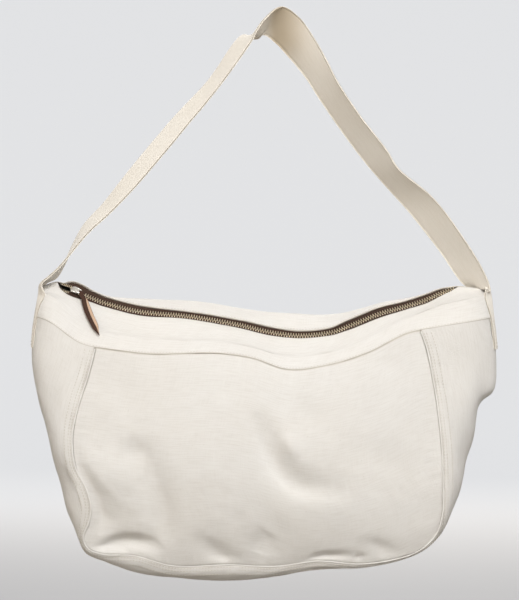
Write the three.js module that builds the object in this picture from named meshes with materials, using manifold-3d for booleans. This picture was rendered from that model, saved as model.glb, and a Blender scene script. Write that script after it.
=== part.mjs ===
import * as THREE from 'three';
import Module from 'manifold-3d';
import { mergeVertices } from 'three/addons/utils/BufferGeometryUtils.js';

// Newspaper delivery bag of natural canvas, hanging by its shoulder strap.
// Millimetres, +Z up, the front of the bag faces -Y.
// The origin is the point that the strap hangs on, under the middle of its width.

// Driving sizes of the body
const bodyWidth = 556;
const bodyHeight = 355;
const strapDrop = 314;
const bodyOffset = -10;
const frontDepth = 58;
const backDepth = 46;
const frontBelly = 17;
const backBelly = 8;
const foldDepth = 9;
const foldFade = 0.1;

// Steps of the meshes
const sideSteps = 14;
const middleSteps = 30;
const backSteps = { across: 18, down: 12 };
const bandSteps = 2;
const facingSteps = 3;
const tapeSteps = 2;
const chainSteps = 60;
const eyeSteps = 6;
const thongSteps = 40;
const strapSteps = 56;
const weltStations = 60;
const weltSteps = 52;

// Cloth, seams and the clearance between two sewn pieces
const canvas = 1.6;
const bevel = 3;
const seamGap = 0.4;
const widerGap = 1;
const weltRadius = 0.9;
const weltSides = 5;
// Share of the seam that the welt leaves bare at each end
const weltStart = 0.004;

// Webbing strap
const strapWidth = 45;
const strapThickness = 2.4;
const sewnLength = 70;
const strapStandOff = 1.5;
// Places of the sewn stations: down the gusset from the yoke seam, and up the band from it
const sewnGussetLevels = [1, 0.55, 0.1];
const sewnBandLevels = [0.12, 0.5, 0.9];

// Zip: half of the opening between the facings, chain, tapes and slider
const openHalf = 6.5;
const chainWidth = 5.5;
const chainHeight = 3;
const chainLift = 1.6;
const toothRowWidth = 2.4;
const eyeSpread = 1.2;
const tapeThickness = 0.6;
const tapeTuck = 6;
// A tape reaches under no more than this part of a narrow facing
const narrowTuck = 5;
// The tapes close up within this share of bodyWidth beyond the slider
const closingReach = 0.004;
const sliderLength = 11;
const sliderWidth = 8.6;
const sliderPlate = 1.4;
const neckWidth = 1.6;
const neckLength = 2.4;
const bailSpan = 7;
const bailRise = 2.7;
const bailBar = 1.2;
const bailWidth = 2.4;
// Shares of the slider's half length and half width at the corners of its plates
const plateCorners = { shoulder: 0.75, widest: 0.6, taper: 0.2, taperSide: 0.9, round: 0.7 };
const neckPlace = 0.7;
const bailCorner = 0.6;
const bailFoot = 0.01;

// Leather strip that is folded through the bail
const thongWidth = 6;
const thongThickness = 1.3;
const thongReach = 52;
// Sideways drift of the tails as a share of their reach
const thongDrift = 0.3;
// How far the lower tail, and the upper one at two places, stand up before they lie flat
const lowerTailLift = 0.6;
const upperTailLift = 1.6;
const upperTailSag = 0.5;
// Width of the cut ends as a share of the strip's, and the share of its length they taper over
const thongEndWidth = 0.35;
const thongTaper = 0.12;

// How boxy the ends of the bag are: 2 is an ellipse, more is squarer
const endBoxiness = 2.8;
// Wave of the yoke seam where it turns round the left end, as a share of its fall
const yokeWave = -0.1;
// The wave has gone after one part in this many of the gusset's length
const waveParts = 12;
// The back seam lies nearer the outline than the front seam
const backSeamShare = 0.85;
const backSmoothing = 3;
// Largest share of a patch that its margin may take
const widestMargin = 0.2;
// Depth of the facing's outer edge as a share of the yoke's
const creaseShare = 0.74;
// Fall of the back yoke seam where it is hidden, as a share of the body's height
const backYokeFall = 0.2;
// The lower this is, the fuller the bellies are towards the seams
const bellyTaper = 0.8;
// Length over which a facing runs on flat beside the zip, as a share of its width
const facingBend = 0.45;

// Gusset from the yoke seam at the left, under the bottom, to the yoke seam at the right.
// seam is the front seam, edge the outline; across is a share of bodyWidth from the middle,
// fall a share of bodyHeight below the top corners.
const gussetRows = [
  { seamAcross: -0.359, seamFall: 0.216, edgeAcross: -0.494, edgeFall: 0.115 },
  { seamAcross: -0.374, seamFall: 0.309, edgeAcross: -0.500, edgeFall: 0.209 },
  { seamAcross: -0.393, seamFall: 0.402, edgeAcross: -0.495, edgeFall: 0.297 },
  { seamAcross: -0.406, seamFall: 0.498, edgeAcross: -0.483, edgeFall: 0.402 },
  { seamAcross: -0.406, seamFall: 0.551, edgeAcross: -0.468, edgeFall: 0.490 },
  { seamAcross: -0.399, seamFall: 0.614, edgeAcross: -0.455, edgeFall: 0.584 },
  { seamAcross: -0.378, seamFall: 0.677, edgeAcross: -0.440, edgeFall: 0.679 },
  { seamAcross: -0.367, seamFall: 0.743, edgeAcross: -0.424, edgeFall: 0.760 },
  { seamAcross: -0.372, seamFall: 0.792, edgeAcross: -0.409, edgeFall: 0.814 },
  { seamAcross: -0.384, seamFall: 0.845, edgeAcross: -0.396, edgeFall: 0.861 },
  { seamAcross: -0.374, seamFall: 0.882, edgeAcross: -0.380, edgeFall: 0.905 },
  { seamAcross: -0.342, seamFall: 0.902, edgeAcross: -0.340, edgeFall: 0.932 },
  { seamAcross: -0.277, seamFall: 0.907, edgeAcross: -0.273, edgeFall: 0.973 },
  { seamAcross: -0.196, seamFall: 0.941, edgeAcross: -0.194, edgeFall: 0.993 },
  { seamAcross: -0.074, seamFall: 0.938, edgeAcross: -0.075, edgeFall: 1.000 },
  { seamAcross: 0.024, seamFall: 0.943, edgeAcross: 0.024, edgeFall: 0.986 },
  { seamAcross: 0.112, seamFall: 0.925, edgeAcross: 0.115, edgeFall: 0.966 },
  { seamAcross: 0.205, seamFall: 0.935, edgeAcross: 0.210, edgeFall: 0.953 },
  { seamAcross: 0.286, seamFall: 0.915, edgeAcross: 0.295, edgeFall: 0.922 },
  { seamAcross: 0.328, seamFall: 0.888, edgeAcross: 0.344, edgeFall: 0.885 },
  { seamAcross: 0.360, seamFall: 0.839, edgeAcross: 0.378, edgeFall: 0.831 },
  { seamAcross: 0.374, seamFall: 0.779, edgeAcross: 0.400, edgeFall: 0.764 },
  { seamAcross: 0.376, seamFall: 0.677, edgeAcross: 0.423, edgeFall: 0.666 },
  { seamAcross: 0.374, seamFall: 0.554, edgeAcross: 0.443, edgeFall: 0.554 },
  { seamAcross: 0.366, seamFall: 0.422, edgeAcross: 0.462, edgeFall: 0.429 },
  { seamAcross: 0.355, seamFall: 0.309, edgeAcross: 0.496, edgeFall: 0.355 },
  { seamAcross: 0.343, seamFall: 0.216, edgeAcross: 0.499, edgeFall: 0.233 },
  { seamAcross: 0.330, seamFall: 0.158, edgeAcross: 0.492, edgeFall: 0.118 },
];
// Rows of the table at the rounded bottom corners
const leftCornerRow = 9.5;
const rightCornerRow = 20;

// Depth of the seams as a share of frontDepth or backDepth
const depthRows = [
  { fall: 0.1, share: 0.74 },
  { fall: 0.3, share: 0.86 },
  { fall: 0.5, share: 0.96 },
  { fall: 0.7, share: 1.0 },
  { fall: 0.86, share: 0.88 },
  { fall: 1.0, share: 0.68 },
];

// Yoke seam between the gusset seams, front and back
const frontYokeRows = [
  { across: -0.2455, fall: 0.2365 },
  { across: -0.1035, fall: 0.2345 },
  { across: -0.027, fall: 0.25 },
  { across: 0.049, fall: 0.288 },
  { across: 0.136, fall: 0.273 },
  { across: 0.2185, fall: 0.232 },
  { across: 0.295, fall: 0.1725 },
];
const backYokeRows = [
  { across: -0.2, fall: backYokeFall + 0.02 },
  { across: 0.02, fall: backYokeFall + 0.05 },
  { across: 0.22, fall: backYokeFall + 0.01 },
];

// Outer edge of the facings: a faint crease in front, the crest of the bag at the back
const creaseEnds = {
  leftAcross: -0.485, leftFall: 0.03, rightAcross: 0.486, rightFall: 0.037,
};
const frontCreaseRows = [
  { across: -0.352, fall: 0.159 },
  { across: -0.309, fall: 0.176 },
  { across: -0.247, fall: 0.189 },
  { across: -0.103, fall: 0.196 },
  { across: -0.027, fall: 0.216 },
  { across: 0.05, fall: 0.247 },
  { across: 0.137, fall: 0.232 },
  { across: 0.22, fall: 0.186 },
  { across: 0.296, fall: 0.125 },
  { across: 0.375, fall: 0.075 },
];
// depth is a share of backDepth
const crestRows = [
  { across: -0.37, fall: 0.048, depth: 0.72 },
  { across: -0.267, fall: 0.066, depth: 0.64 },
  { across: -0.15, fall: 0.071, depth: 0.54 },
  { across: -0.01, fall: 0.103, depth: 0.46 },
  { across: 0.076, fall: 0.111, depth: 0.44 },
  { across: 0.139, fall: 0.114, depth: 0.44 },
  { across: 0.178, fall: 0.107, depth: 0.46 },
  { across: 0.2465, fall: 0.082, depth: 0.54 },
  { across: 0.3, fall: 0.066, depth: 0.64 },
  { across: 0.37, fall: 0.044, depth: 0.72 },
];

// Middle of the zip and the ridges beyond its ends. forward is a share of frontDepth,
// open a share of openHalf.
const zipRows = [
  { across: -0.478, fall: 0.010, forward: 0, open: 0 },
  { across: -0.448, fall: -0.003, forward: 0.02, open: 0 },
  { across: -0.435, fall: 0.010, forward: 0.04, open: 0.75 },
  { across: -0.418, fall: 0.019, forward: 0.06, open: 1.35 },
  { across: -0.400, fall: 0.031, forward: 0.08, open: 1.5 },
  { across: -0.375, fall: 0.046, forward: 0.1, open: 1.25 },
  { across: -0.342, fall: 0.064, forward: 0.12, open: 1 },
  { across: -0.267, fall: 0.093, forward: 0.14, open: 1 },
  { across: -0.159, fall: 0.110, forward: 0.15, open: 1 },
  { across: -0.051, fall: 0.139, forward: 0.15, open: 1 },
  { across: 0.014, fall: 0.163, forward: 0.15, open: 1 },
  { across: 0.076, fall: 0.174, forward: 0.15, open: 1 },
  { across: 0.141, fall: 0.164, forward: 0.15, open: 1 },
  { across: 0.181, fall: 0.141, forward: 0.14, open: 1 },
  { across: 0.246, fall: 0.100, forward: 0.12, open: 1 },
  { across: 0.299, fall: 0.077, forward: 0.1, open: 1 },
  { across: 0.344, fall: 0.055, forward: 0.08, open: 1 },
  { across: 0.378, fall: 0.032, forward: 0.05, open: 0.85 },
  { across: 0.400, fall: 0.021, forward: 0.03, open: 0.5 },
  { across: 0.419, fall: 0.013, forward: 0.02, open: 0 },
  { across: 0.480, fall: 0.022, forward: 0, open: 0 },
];
const sliderAcross = -0.405;
const chainStartAcross = -0.403;
const chainEndAcross = 0.397;
const zipStartAcross = -0.447;
const zipEndAcross = 0.4185;
const eyeStartAcross = -0.433;
const eyeEndAcross = -0.4185;

// Free run of the strap on each side, from the hang point to the top corner of the bag.
// along and down are shares of the way to that corner; leanAcross and leanUp say where
// the front edge of the webbing lies, as shares of half its width.
const leftStrapRows = [
  { along: 0.949, down: 0.973, leanAcross: -0.1, leanUp: 0.02 },
  { along: 0.908, down: 0.930, leanAcross: 0.02, leanUp: 0 },
  { along: 0.809, down: 0.795, leanAcross: 0.22, leanUp: -0.19 },
  { along: 0.7115, down: 0.707, leanAcross: 0.295, leanUp: -0.24 },
  { along: 0.599, down: 0.592, leanAcross: 0.36, leanUp: -0.3 },
  { along: 0.4035, down: 0.387, leanAcross: 0.38, leanUp: -0.29 },
  { along: 0.256, down: 0.239, leanAcross: 0.31, leanUp: -0.235 },
  { along: 0.132, down: 0.083, leanAcross: 0.28, leanUp: -0.16 },
  { along: 0.087, down: 0.054, leanAcross: 0.18, leanUp: 0.06 },
  { along: 0.048, down: 0.028, leanAcross: 0.22, leanUp: 0.45 },
];
const crestLean = { leanAcross: 0.48, leanUp: 0.68 };
const rightStrapRows = [
  { along: 0.065, down: 0.034, leanAcross: 0.62, leanUp: 0.62 },
  { along: 0.1325, down: 0.1026, leanAcross: 0.67, leanUp: 0.42 },
  { along: 0.2, down: 0.183, leanAcross: 0.54, leanUp: 0.37 },
  { along: 0.358, down: 0.39, leanAcross: 0.54, leanUp: 0.4 },
  { along: 0.488, down: 0.515, leanAcross: 0.43, leanUp: 0.31 },
  { along: 0.563, down: 0.582, leanAcross: 0.36, leanUp: 0.27 },
  { along: 0.688, down: 0.698, leanAcross: 0.55, leanUp: 0.38 },
  { along: 0.858, down: 0.869, leanAcross: 0.5, leanUp: 0.42 },
  { along: 0.955, down: 0.966, leanAcross: 0.4, leanUp: 0.15 },
];
// Where the strap leaves the top corners, and how far its edges bend back there
const strapEnds = { leftAcross: -0.4825, leftFall: 0.006, rightAcross: 0.485, rightFall: 0.012 };
const cornerBow = 3;

// Folds and dents of the front panel. Each is a line from one end to the other;
// width is a share of bodyWidth, depth a share of foldDepth, minus for a raised ridge.
const foldRows = [
  { fromAcross: -0.40, fromFall: 0.57, toAcross: -0.32, toFall: 0.72, width: 0.022, depth: 1.1 },
  { fromAcross: -0.27, fromFall: 0.54, toAcross: -0.235, toFall: 0.62, width: 0.026, depth: 0.7 },
  { fromAcross: -0.22, fromFall: 0.66, toAcross: -0.21, toFall: 0.78, width: 0.028, depth: 0.6 },
  { fromAcross: -0.35, fromFall: 0.86, toAcross: -0.24, toFall: 0.83, width: 0.018, depth: 1.2 },
  { fromAcross: -0.30, fromFall: 0.87, toAcross: -0.24, toFall: 0.89, width: 0.018, depth: 0.6 },
  { fromAcross: -0.01, fromFall: 0.48, toAcross: 0.03, toFall: 0.60, width: 0.022, depth: 0.9 },
  { fromAcross: 0.03, fromFall: 0.62, toAcross: 0.13, toFall: 0.68, width: 0.026, depth: 1 },
  { fromAcross: 0.04, fromFall: 0.50, toAcross: 0.06, toFall: 0.57, width: 0.022, depth: -0.8 },
  { fromAcross: -0.02, fromFall: 0.90, toAcross: 0.03, toFall: 0.83, width: 0.024, depth: 0.7 },
  { fromAcross: 0.10, fromFall: 0.89, toAcross: 0.15, toFall: 0.88, width: 0.024, depth: 0.7 },
  { fromAcross: 0.22, fromFall: 0.85, toAcross: 0.28, toFall: 0.87, width: 0.022, depth: 0.6 },
];

const vector = (x, y, z) => new THREE.Vector3(x, y, z);
const lerp = THREE.MathUtils.lerp;

function place(across, fall, depth) {
  return vector(bodyOffset + across * bodyWidth, depth, -strapDrop - fall * bodyHeight);
}

// Smooth value of a table's column at any place along its key column
function alongTable(rows, key, column, at) {
  const last = rows.length - 1;
  let i = 0;
  while (i < last - 1 && at > rows[i + 1][key]) i += 1;
  const span = rows[i + 1][key] - rows[i][key];
  const t = THREE.MathUtils.clamp((at - rows[i][key]) / span, 0, 1);
  const slope = (a, b) => (rows[b][column] - rows[a][column]) / (rows[b][key] - rows[a][key]);
  const slopeIn = slope(Math.max(i - 1, 0), i + 1) * span;
  const slopeOut = slope(i, Math.min(i + 2, last)) * span;
  const t2 = t * t;
  const t3 = t2 * t;
  return rows[i][column] * (2 * t3 - 3 * t2 + 1) + slopeIn * (t3 - 2 * t2 + t)
    + rows[i + 1][column] * (3 * t2 - 2 * t3) + slopeOut * (t3 - t2);
}

const seamDepth = (fall) => alongTable(depthRows, 'fall', 'share', fall);

// Rails of the gusset: front seam, outline and back seam
function rail(pointOfRow) {
  return new THREE.CatmullRomCurve3(gussetRows.map(pointOfRow), false, 'centripetal');
}
const seamRail = rail((row) => (
  place(row.seamAcross, row.seamFall, -frontDepth * seamDepth(row.seamFall))));
const edgeRail = rail((row) => place(row.edgeAcross, row.edgeFall, 0));
// The back seam follows the front one without its waves
const backRail = rail((row, i) => {
  const reach = Math.min(backSmoothing, i, gussetRows.length - 1 - i);
  const near = gussetRows.slice(i - reach, i + reach + 1);
  const mean = (column) => near.reduce((sum, one) => sum + one[column], 0) / near.length;
  const across = lerp(row.edgeAcross, mean('seamAcross'), backSeamShare);
  const fall = lerp(row.edgeFall, mean('seamFall'), backSeamShare);
  return place(across, fall, backDepth * seamDepth(fall));
});

// Section of a bag end at one level, from the front point round the outline to the back.
// turn runs from 0 at the front to 1 at the back.
function endSection(front, edge, back, turn) {
  const angle = Math.PI * turn;
  const cosine = Math.cos(angle);
  const sine = Math.sin(angle);
  const size = (Math.abs(cosine) ** endBoxiness + Math.abs(sine) ** endBoxiness) ** (1 / endBoxiness);
  const near = cosine >= 0 ? front : back;
  const lift = sine / size;
  return vector(lerp(near.x, edge.x, lift), lerp(edge.y, near.y, Math.abs(cosine) / size),
    lerp(near.z, edge.z, lift));
}

// The left end's seam falls in a soft wave on its way to the front
function withWave(point, front, edge, fade) {
  const run = edge.x - front.x;
  const share = Math.abs(run) < 1 ? 0 : (point.x - front.x) / run;
  point.z += yokeWave * (edge.z - front.z) * Math.sin(2 * Math.PI * share) * fade;
  return point;
}

function gusset(t, turn) {
  const front = seamRail.getPoint(t);
  const edge = edgeRail.getPoint(t);
  const point = endSection(front, edge, backRail.getPoint(t), turn);
  return withWave(point, front, edge, Math.max(0, 1 - t * waveParts));
}

// Shares of a loop at which its front or back stretch starts and ends
function endShares(ends, near) {
  const span = ends.edgeRight.x - ends.edgeLeft.x;
  return [`${near}Left`, `${near}Right`].map((key) => (ends[key].x - ends.edgeLeft.x) / span);
}

// A loop round one half of the bag, front or back, from the left end to the right end
function halfLoop(ends, middle, isFront) {
  const near = isFront ? 'front' : 'back';
  const [left, right] = endShares(ends, near);
  const turnAt = (share) => (isFront ? 0.5 * share : 1 - 0.5 * share);
  return (u) => {
    if (u < left) {
      const point = endSection(ends.frontLeft, ends.edgeLeft, ends.backLeft, turnAt(1 - u / left));
      return withWave(point, ends[`${near}Left`], ends.edgeLeft, 1);
    }
    if (u > right) {
      const turn = turnAt((u - right) / (1 - right));
      return endSection(ends.frontRight, ends.edgeRight, ends.backRight, turn);
    }
    return middle((u - left) / (right - left));
  };
}

// Middle stretch of a loop between two fixed points, with a table of falls between them
function middleStretch(start, end, rows, depthOf) {
  const acrossOf = (point) => (point.x - bodyOffset) / bodyWidth;
  const fallOf = (point) => (-strapDrop - point.z) / bodyHeight;
  const all = [
    { across: acrossOf(start), fall: fallOf(start) },
    ...rows,
    { across: acrossOf(end), fall: fallOf(end) },
  ];
  return (share) => {
    const across = lerp(all[0].across, all.at(-1).across, share);
    const fall = alongTable(all, 'across', 'fall', across);
    return place(across, fall, depthOf(fall, across));
  };
}

const yokeEnds = {
  frontLeft: seamRail.getPoint(0), edgeLeft: edgeRail.getPoint(0), backLeft: backRail.getPoint(0),
  frontRight: seamRail.getPoint(1), edgeRight: edgeRail.getPoint(1), backRight: backRail.getPoint(1),
};
const frontYokeDepth = (fall) => -frontDepth * seamDepth(fall);
const backYokeDepth = (fall) => backDepth * seamDepth(fall);
const frontYokeMiddle = middleStretch(
  yokeEnds.frontLeft, yokeEnds.frontRight, frontYokeRows, frontYokeDepth);
const backYokeMiddle = middleStretch(
  yokeEnds.backLeft, yokeEnds.backRight, backYokeRows, backYokeDepth);
const frontYoke = halfLoop(yokeEnds, frontYokeMiddle, true);
const backYoke = halfLoop(yokeEnds, backYokeMiddle, false);

const frontCreaseDepth = (fall) => creaseShare * frontYokeDepth(fall);
const crestDepth = (fall, across) => backDepth * alongTable(crestRows, 'across', 'depth', across);
const endRow = (rows, index, depthOf) => {
  const { across, fall } = rows.at(index);
  return place(across, fall, depthOf(fall, across));
};
const topEnds = {
  frontLeft: endRow(frontCreaseRows, 0, frontCreaseDepth),
  edgeLeft: place(creaseEnds.leftAcross, creaseEnds.leftFall, 0),
  backLeft: endRow(crestRows, 0, crestDepth),
  frontRight: endRow(frontCreaseRows, -1, frontCreaseDepth),
  edgeRight: place(creaseEnds.rightAcross, creaseEnds.rightFall, 0),
  backRight: endRow(crestRows, -1, crestDepth),
};
const frontCrease = halfLoop(topEnds, middleStretch(
  topEnds.frontLeft, topEnds.frontRight, frontCreaseRows.slice(1, -1), frontCreaseDepth), true);
const backCrest = halfLoop(topEnds, middleStretch(
  topEnds.backLeft, topEnds.backRight, crestRows.slice(1, -1), crestDepth), false);

// Surface of a band between two loops
const between = (lower, upper) => (u, v) => lower(u).lerp(upper(u), v);
const frontBand = between(frontYoke, frontCrease);
const backBand = between(backYoke, backCrest);

// Frame of the zip at a share of the way from the left ridge end to the right one
const zipAcrossAt = (u) => lerp(zipRows[0].across, zipRows.at(-1).across, u);
const zipShareOf = (across) => (
  (across - zipRows[0].across) / (zipRows.at(-1).across - zipRows[0].across));

function zipPoint(u) {
  const across = zipAcrossAt(u);
  const forward = alongTable(zipRows, 'across', 'forward', across);
  return place(across, alongTable(zipRows, 'across', 'fall', across), -frontDepth * forward);
}

function zipOpening(u) {
  return Math.max(0, alongTable(zipRows, 'across', 'open', zipAcrossAt(u))) * openHalf;
}

function zipFrame(u) {
  const step = 0.004;
  const along = zipPoint(Math.min(u + step, 1)).sub(zipPoint(Math.max(u - step, 0))).normalize();
  const down = frontCrease(u).sub(backCrest(u)).add(vector(0, -1, 0));
  down.addScaledVector(along, -down.dot(along)).normalize();
  return { middle: zipPoint(u), along, down, out: down.clone().cross(along) };
}

// A facing runs from its outer edge to the zip and lies flat beside it
function facing(outerEdge, side) {
  return (u, v) => {
    const frame = zipFrame(u);
    const inner = frame.middle.clone().addScaledVector(frame.down, side * zipOpening(u));
    const outer = outerEdge(u);
    const reach = outer.distanceTo(inner) * facingBend;
    const bend = inner.clone().addScaledVector(frame.down, side * reach);
    return outer.multiplyScalar((1 - v) ** 2).addScaledVector(bend, 2 * v * (1 - v))
      .addScaledVector(inner, v * v);
  };
}
const frontFacing = facing(frontCrease, 1);
const backFacing = facing(backCrest, -1);

// Coons patch between four edges, pushed out to a belly
function panel(top, bottom, left, right, belly, extra) {
  const corners = [top(0), top(1), bottom(0), bottom(1)];
  return (u, v) => {
    const point = top(u).multiplyScalar(1 - v).addScaledVector(bottom(u), v)
      .addScaledVector(left(v), 1 - u).addScaledVector(right(v), u);
    point.addScaledVector(corners[0], -(1 - u) * (1 - v)).addScaledVector(corners[1], -u * (1 - v));
    point.addScaledVector(corners[2], -(1 - u) * v).addScaledVector(corners[3], -u * v);
    const rise = Math.sin(Math.PI * u) ** bellyTaper * Math.sin(Math.PI * v) ** bellyTaper;
    point.y += belly * rise;
    if (extra) point.y += extra(point, u, v);
    return point;
  };
}

// Share of a rail's length at a row of its table
function lengthShare(curve, row) {
  const perRow = 20;
  const lengths = curve.getLengths((gussetRows.length - 1) * perRow);
  return lengths[Math.round(row * perRow)] / lengths.at(-1);
}

function railStretch(curve, from, to) {
  return (share) => curve.getPoint(curve.getUtoTmapping(lerp(from, to, share)));
}

function bodyPanel(curve, yokeMiddle, belly, extra) {
  const left = lengthShare(curve, leftCornerRow);
  const right = lengthShare(curve, rightCornerRow);
  return panel(yokeMiddle, railStretch(curve, left, right), railStretch(curve, 0, left),
    railStretch(curve, 1, right), belly, extra);
}

// Depth of the folds at a point of the front panel; they fade out at the seams
function frontFolds(point, u, v) {
  let depth = 0;
  for (const row of foldRows) {
    const from = place(row.fromAcross, row.fromFall, 0);
    const to = place(row.toAcross, row.toFall, 0);
    const way = to.clone().sub(from);
    const here = vector(point.x, 0, point.z).sub(from);
    const share = THREE.MathUtils.clamp(here.dot(way) / way.lengthSq(), 0, 1);
    const away = here.addScaledVector(way, -share).length() / (row.width * bodyWidth);
    depth += row.depth * foldDepth * Math.exp(-away * away);
  }
  const edge = (share) => THREE.MathUtils.smoothstep(Math.min(share, 1 - share), 0, foldFade);
  return depth * edge(u) * edge(v);
}
const frontPanel = bodyPanel(seamRail, frontYokeMiddle, -frontBelly, frontFolds);
const backPanel = bodyPanel(backRail, backYokeMiddle, backBelly);

// Slopes and normal of a surface; the steps stay inside the patch
const probe = 0.002;
function slopes(surface, u, v) {
  const clampShare = (share) => THREE.MathUtils.clamp(share, 0, 1);
  const u0 = clampShare(u - probe);
  const u1 = clampShare(u + probe);
  const v0 = clampShare(v - probe);
  const v1 = clampShare(v + probe);
  return {
    alongU: surface(u1, v).sub(surface(u0, v)).divideScalar(u1 - u0),
    alongV: surface(u, v1).sub(surface(u, v0)).divideScalar(v1 - v0),
  };
}

function normalOf(surface, u, v, side) {
  const { alongU, alongV } = slopes(surface, u, v);
  return alongU.cross(alongV).multiplyScalar(side).normalize();
}

// Share of the patch that a margin in millimetres takes at one of its sides
function marginShare(surface, u, v, acrossU, margin) {
  const { alongU, alongV } = slopes(surface, u, v);
  const area = alongU.clone().cross(alongV).length();
  const share = margin * (acrossU ? alongV.length() : alongU.length()) / Math.max(area, 1e-6);
  return Math.min(share, widestMargin);
}

// The surface drawn in from its four sides
function inset(surface, margin) {
  return (u, v) => {
    const left = marginShare(surface, 0, v, true, margin);
    const right = marginShare(surface, 1, v, true, margin);
    const low = marginShare(surface, u, 0, false, margin);
    const high = marginShare(surface, u, 1, false, margin);
    return [THREE.MathUtils.clamp(u, left, 1 - right), THREE.MathUtils.clamp(v, low, 1 - high)];
  };
}

// Even shares from 0 to 1, or between two values
const even = (steps, from = 0, to = 1) => (
  Array.from({ length: steps + 1 }, (_, i) => lerp(from, to, i / steps)));

// Closed solid between an outer and an inner grid of points
function shell(outer, inner, sharesU, sharesV) {
  const rows = sharesU.length;
  const columns = sharesV.length;
  const stepsU = rows - 1;
  const stepsV = columns - 1;
  const positions = [];
  for (const grid of [outer, inner]) {
    for (const u of sharesU) {
      for (const v of sharesV) positions.push(...grid(u, v).toArray());
    }
  }
  const at = (layer, i, j) => layer * rows * columns + i * columns + j;
  const index = [];
  const quad = (a, b, c, d) => index.push(a, b, c, a, c, d);
  for (let i = 0; i < stepsU; i += 1) {
    for (let j = 0; j < stepsV; j += 1) {
      quad(at(0, i, j), at(0, i + 1, j), at(0, i + 1, j + 1), at(0, i, j + 1));
      quad(at(1, i, j), at(1, i, j + 1), at(1, i + 1, j + 1), at(1, i + 1, j));
    }
  }
  for (let i = 0; i < stepsU; i += 1) {
    quad(at(0, i + 1, 0), at(0, i, 0), at(1, i, 0), at(1, i + 1, 0));
    quad(at(0, i, stepsV), at(0, i + 1, stepsV), at(1, i + 1, stepsV), at(1, i, stepsV));
  }
  for (let j = 0; j < stepsV; j += 1) {
    quad(at(0, 0, j), at(0, 0, j + 1), at(1, 0, j + 1), at(1, 0, j));
    quad(at(0, stepsU, j + 1), at(0, stepsU, j), at(1, stepsU, j), at(1, stepsU, j + 1));
  }
  const geometry = new THREE.BufferGeometry();
  geometry.setAttribute('position', new THREE.Float32BufferAttribute(positions, 3));
  geometry.setIndex(volumeOf(positions, index) < 0 ? index.reverse() : index);
  geometry.computeVertexNormals();
  return geometry;
}

function volumeOf(positions, index) {
  let volume = 0;
  const corner = (i) => vector(...positions.slice(3 * index[i], 3 * index[i] + 3));
  for (let i = 0; i < index.length; i += 3) {
    volume += corner(i).dot(corner(i + 1).cross(corner(i + 2))) / 6;
  }
  return volume;
}

// Cloth piece with its edges bevelled inwards, so that sewn neighbours never cross
function cloth(surface, side, sharesU, sharesV, gap = seamGap) {
  const outerPlace = inset(surface, gap / 2);
  const innerPlace = inset(surface, gap / 2 + bevel);
  const outer = (u, v) => surface(...outerPlace(u, v));
  const inner = (u, v) => {
    const [a, b] = innerPlace(u, v);
    return surface(a, b).addScaledVector(normalOf(surface, a, b, side), -canvas);
  };
  return shell(outer, inner, sharesU, sharesV);
}

// Zip tape: it follows the underside of the facing and stands out beside the chain
function tapeInner(u) {
  const across = zipAcrossAt(u);
  const spread = lerp(toothRowWidth + seamGap, chainWidth / 2 + eyeSpread,
    THREE.MathUtils.smoothstep(across, zipStartAcross, eyeStartAcross));
  const closed = THREE.MathUtils.smoothstep(across, eyeEndAcross, sliderAcross + closingReach);
  return lerp(spread, chainWidth / 2, closed) + seamGap;
}

function tapeSurface(facingSurface, side) {
  return (u, v) => {
    const frame = zipFrame(u);
    const edge = facingSurface(u, 1);
    const length = Math.max(facingSurface(u, 0.9).distanceTo(edge) / 0.1, 1);
    const offset = lerp(Math.min(tapeTuck, length / narrowTuck), tapeInner(u) - zipOpening(u), v);
    if (offset <= 0) {
      return edge.addScaledVector(frame.down, side * offset)
        .addScaledVector(frame.out, -canvas - widerGap);
    }
    const under = 1 - offset / length;
    return facingSurface(u, under)
      .addScaledVector(normalOf(facingSurface, u, under, side), -canvas - widerGap);
  };
}

function tape(facingSurface, side, stations) {
  const surface = tapeSurface(facingSurface, side);
  const start = zipShareOf(zipStartAcross);
  const end = zipShareOf(zipEndAcross);
  const inner = (u, v) => (
    surface(u, v).addScaledVector(normalOf(surface, u, v, side), -tapeThickness));
  return shell(surface, inner, stations.filter((u) => u > start && u < end), even(tapeSteps));
}

// Box-shaped bar along the zip, from one place across to another
function zipBar(fromAcross, toAcross, offsetOf, halfWidth, steps) {
  const start = zipShareOf(fromAcross);
  const end = zipShareOf(toAcross);
  const side = (level) => (s, v) => {
    const u = lerp(start, end, s);
    const frame = zipFrame(u);
    return frame.middle.addScaledVector(frame.down, offsetOf(u) + lerp(-halfWidth, halfWidth, v))
      .addScaledVector(frame.out, -chainLift + level * chainHeight / 2);
  };
  return shell(side(1), side(-1), even(steps), even(1));
}

// Strap: columns of points across the webbing's inner face, lofted along its length
const leftCorner = place(strapEnds.leftAcross, strapEnds.leftFall, 0);
const rightCorner = place(strapEnds.rightAcross, strapEnds.rightFall, 0);
const acrossStrap = [-1, -0.5, 0, 0.5, 1];

// Point of a bag end at a given depth; ring takes a share from -1 in front to 1 at the back
function ringAtDepth(ring, depth) {
  let low = -1;
  let high = 1;
  for (let i = 0; i < 30; i += 1) {
    const middle = (low + high) / 2;
    if (ring(middle).y < depth) low = middle;
    else high = middle;
  }
  return (low + high) / 2;
}

// One station of the sewn strap: it lies on the bag's end, ringOf(level) at a level of it
function sewnStation(ringOf, level, outward) {
  return acrossStrap.map((share) => {
    const ring = ringOf(level);
    const at = ringAtDepth(ring, -share * strapWidth / 2);
    const point = ring(at);
    const around = ring(at + probe).sub(ring(at - probe));
    const upward = ringOf(level + probe)(at).sub(ringOf(level - probe)(at));
    const normal = around.cross(upward).normalize();
    if (normal.x * outward < 0) normal.negate();
    return point.addScaledVector(normal, strapStandOff);
  });
}

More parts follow.
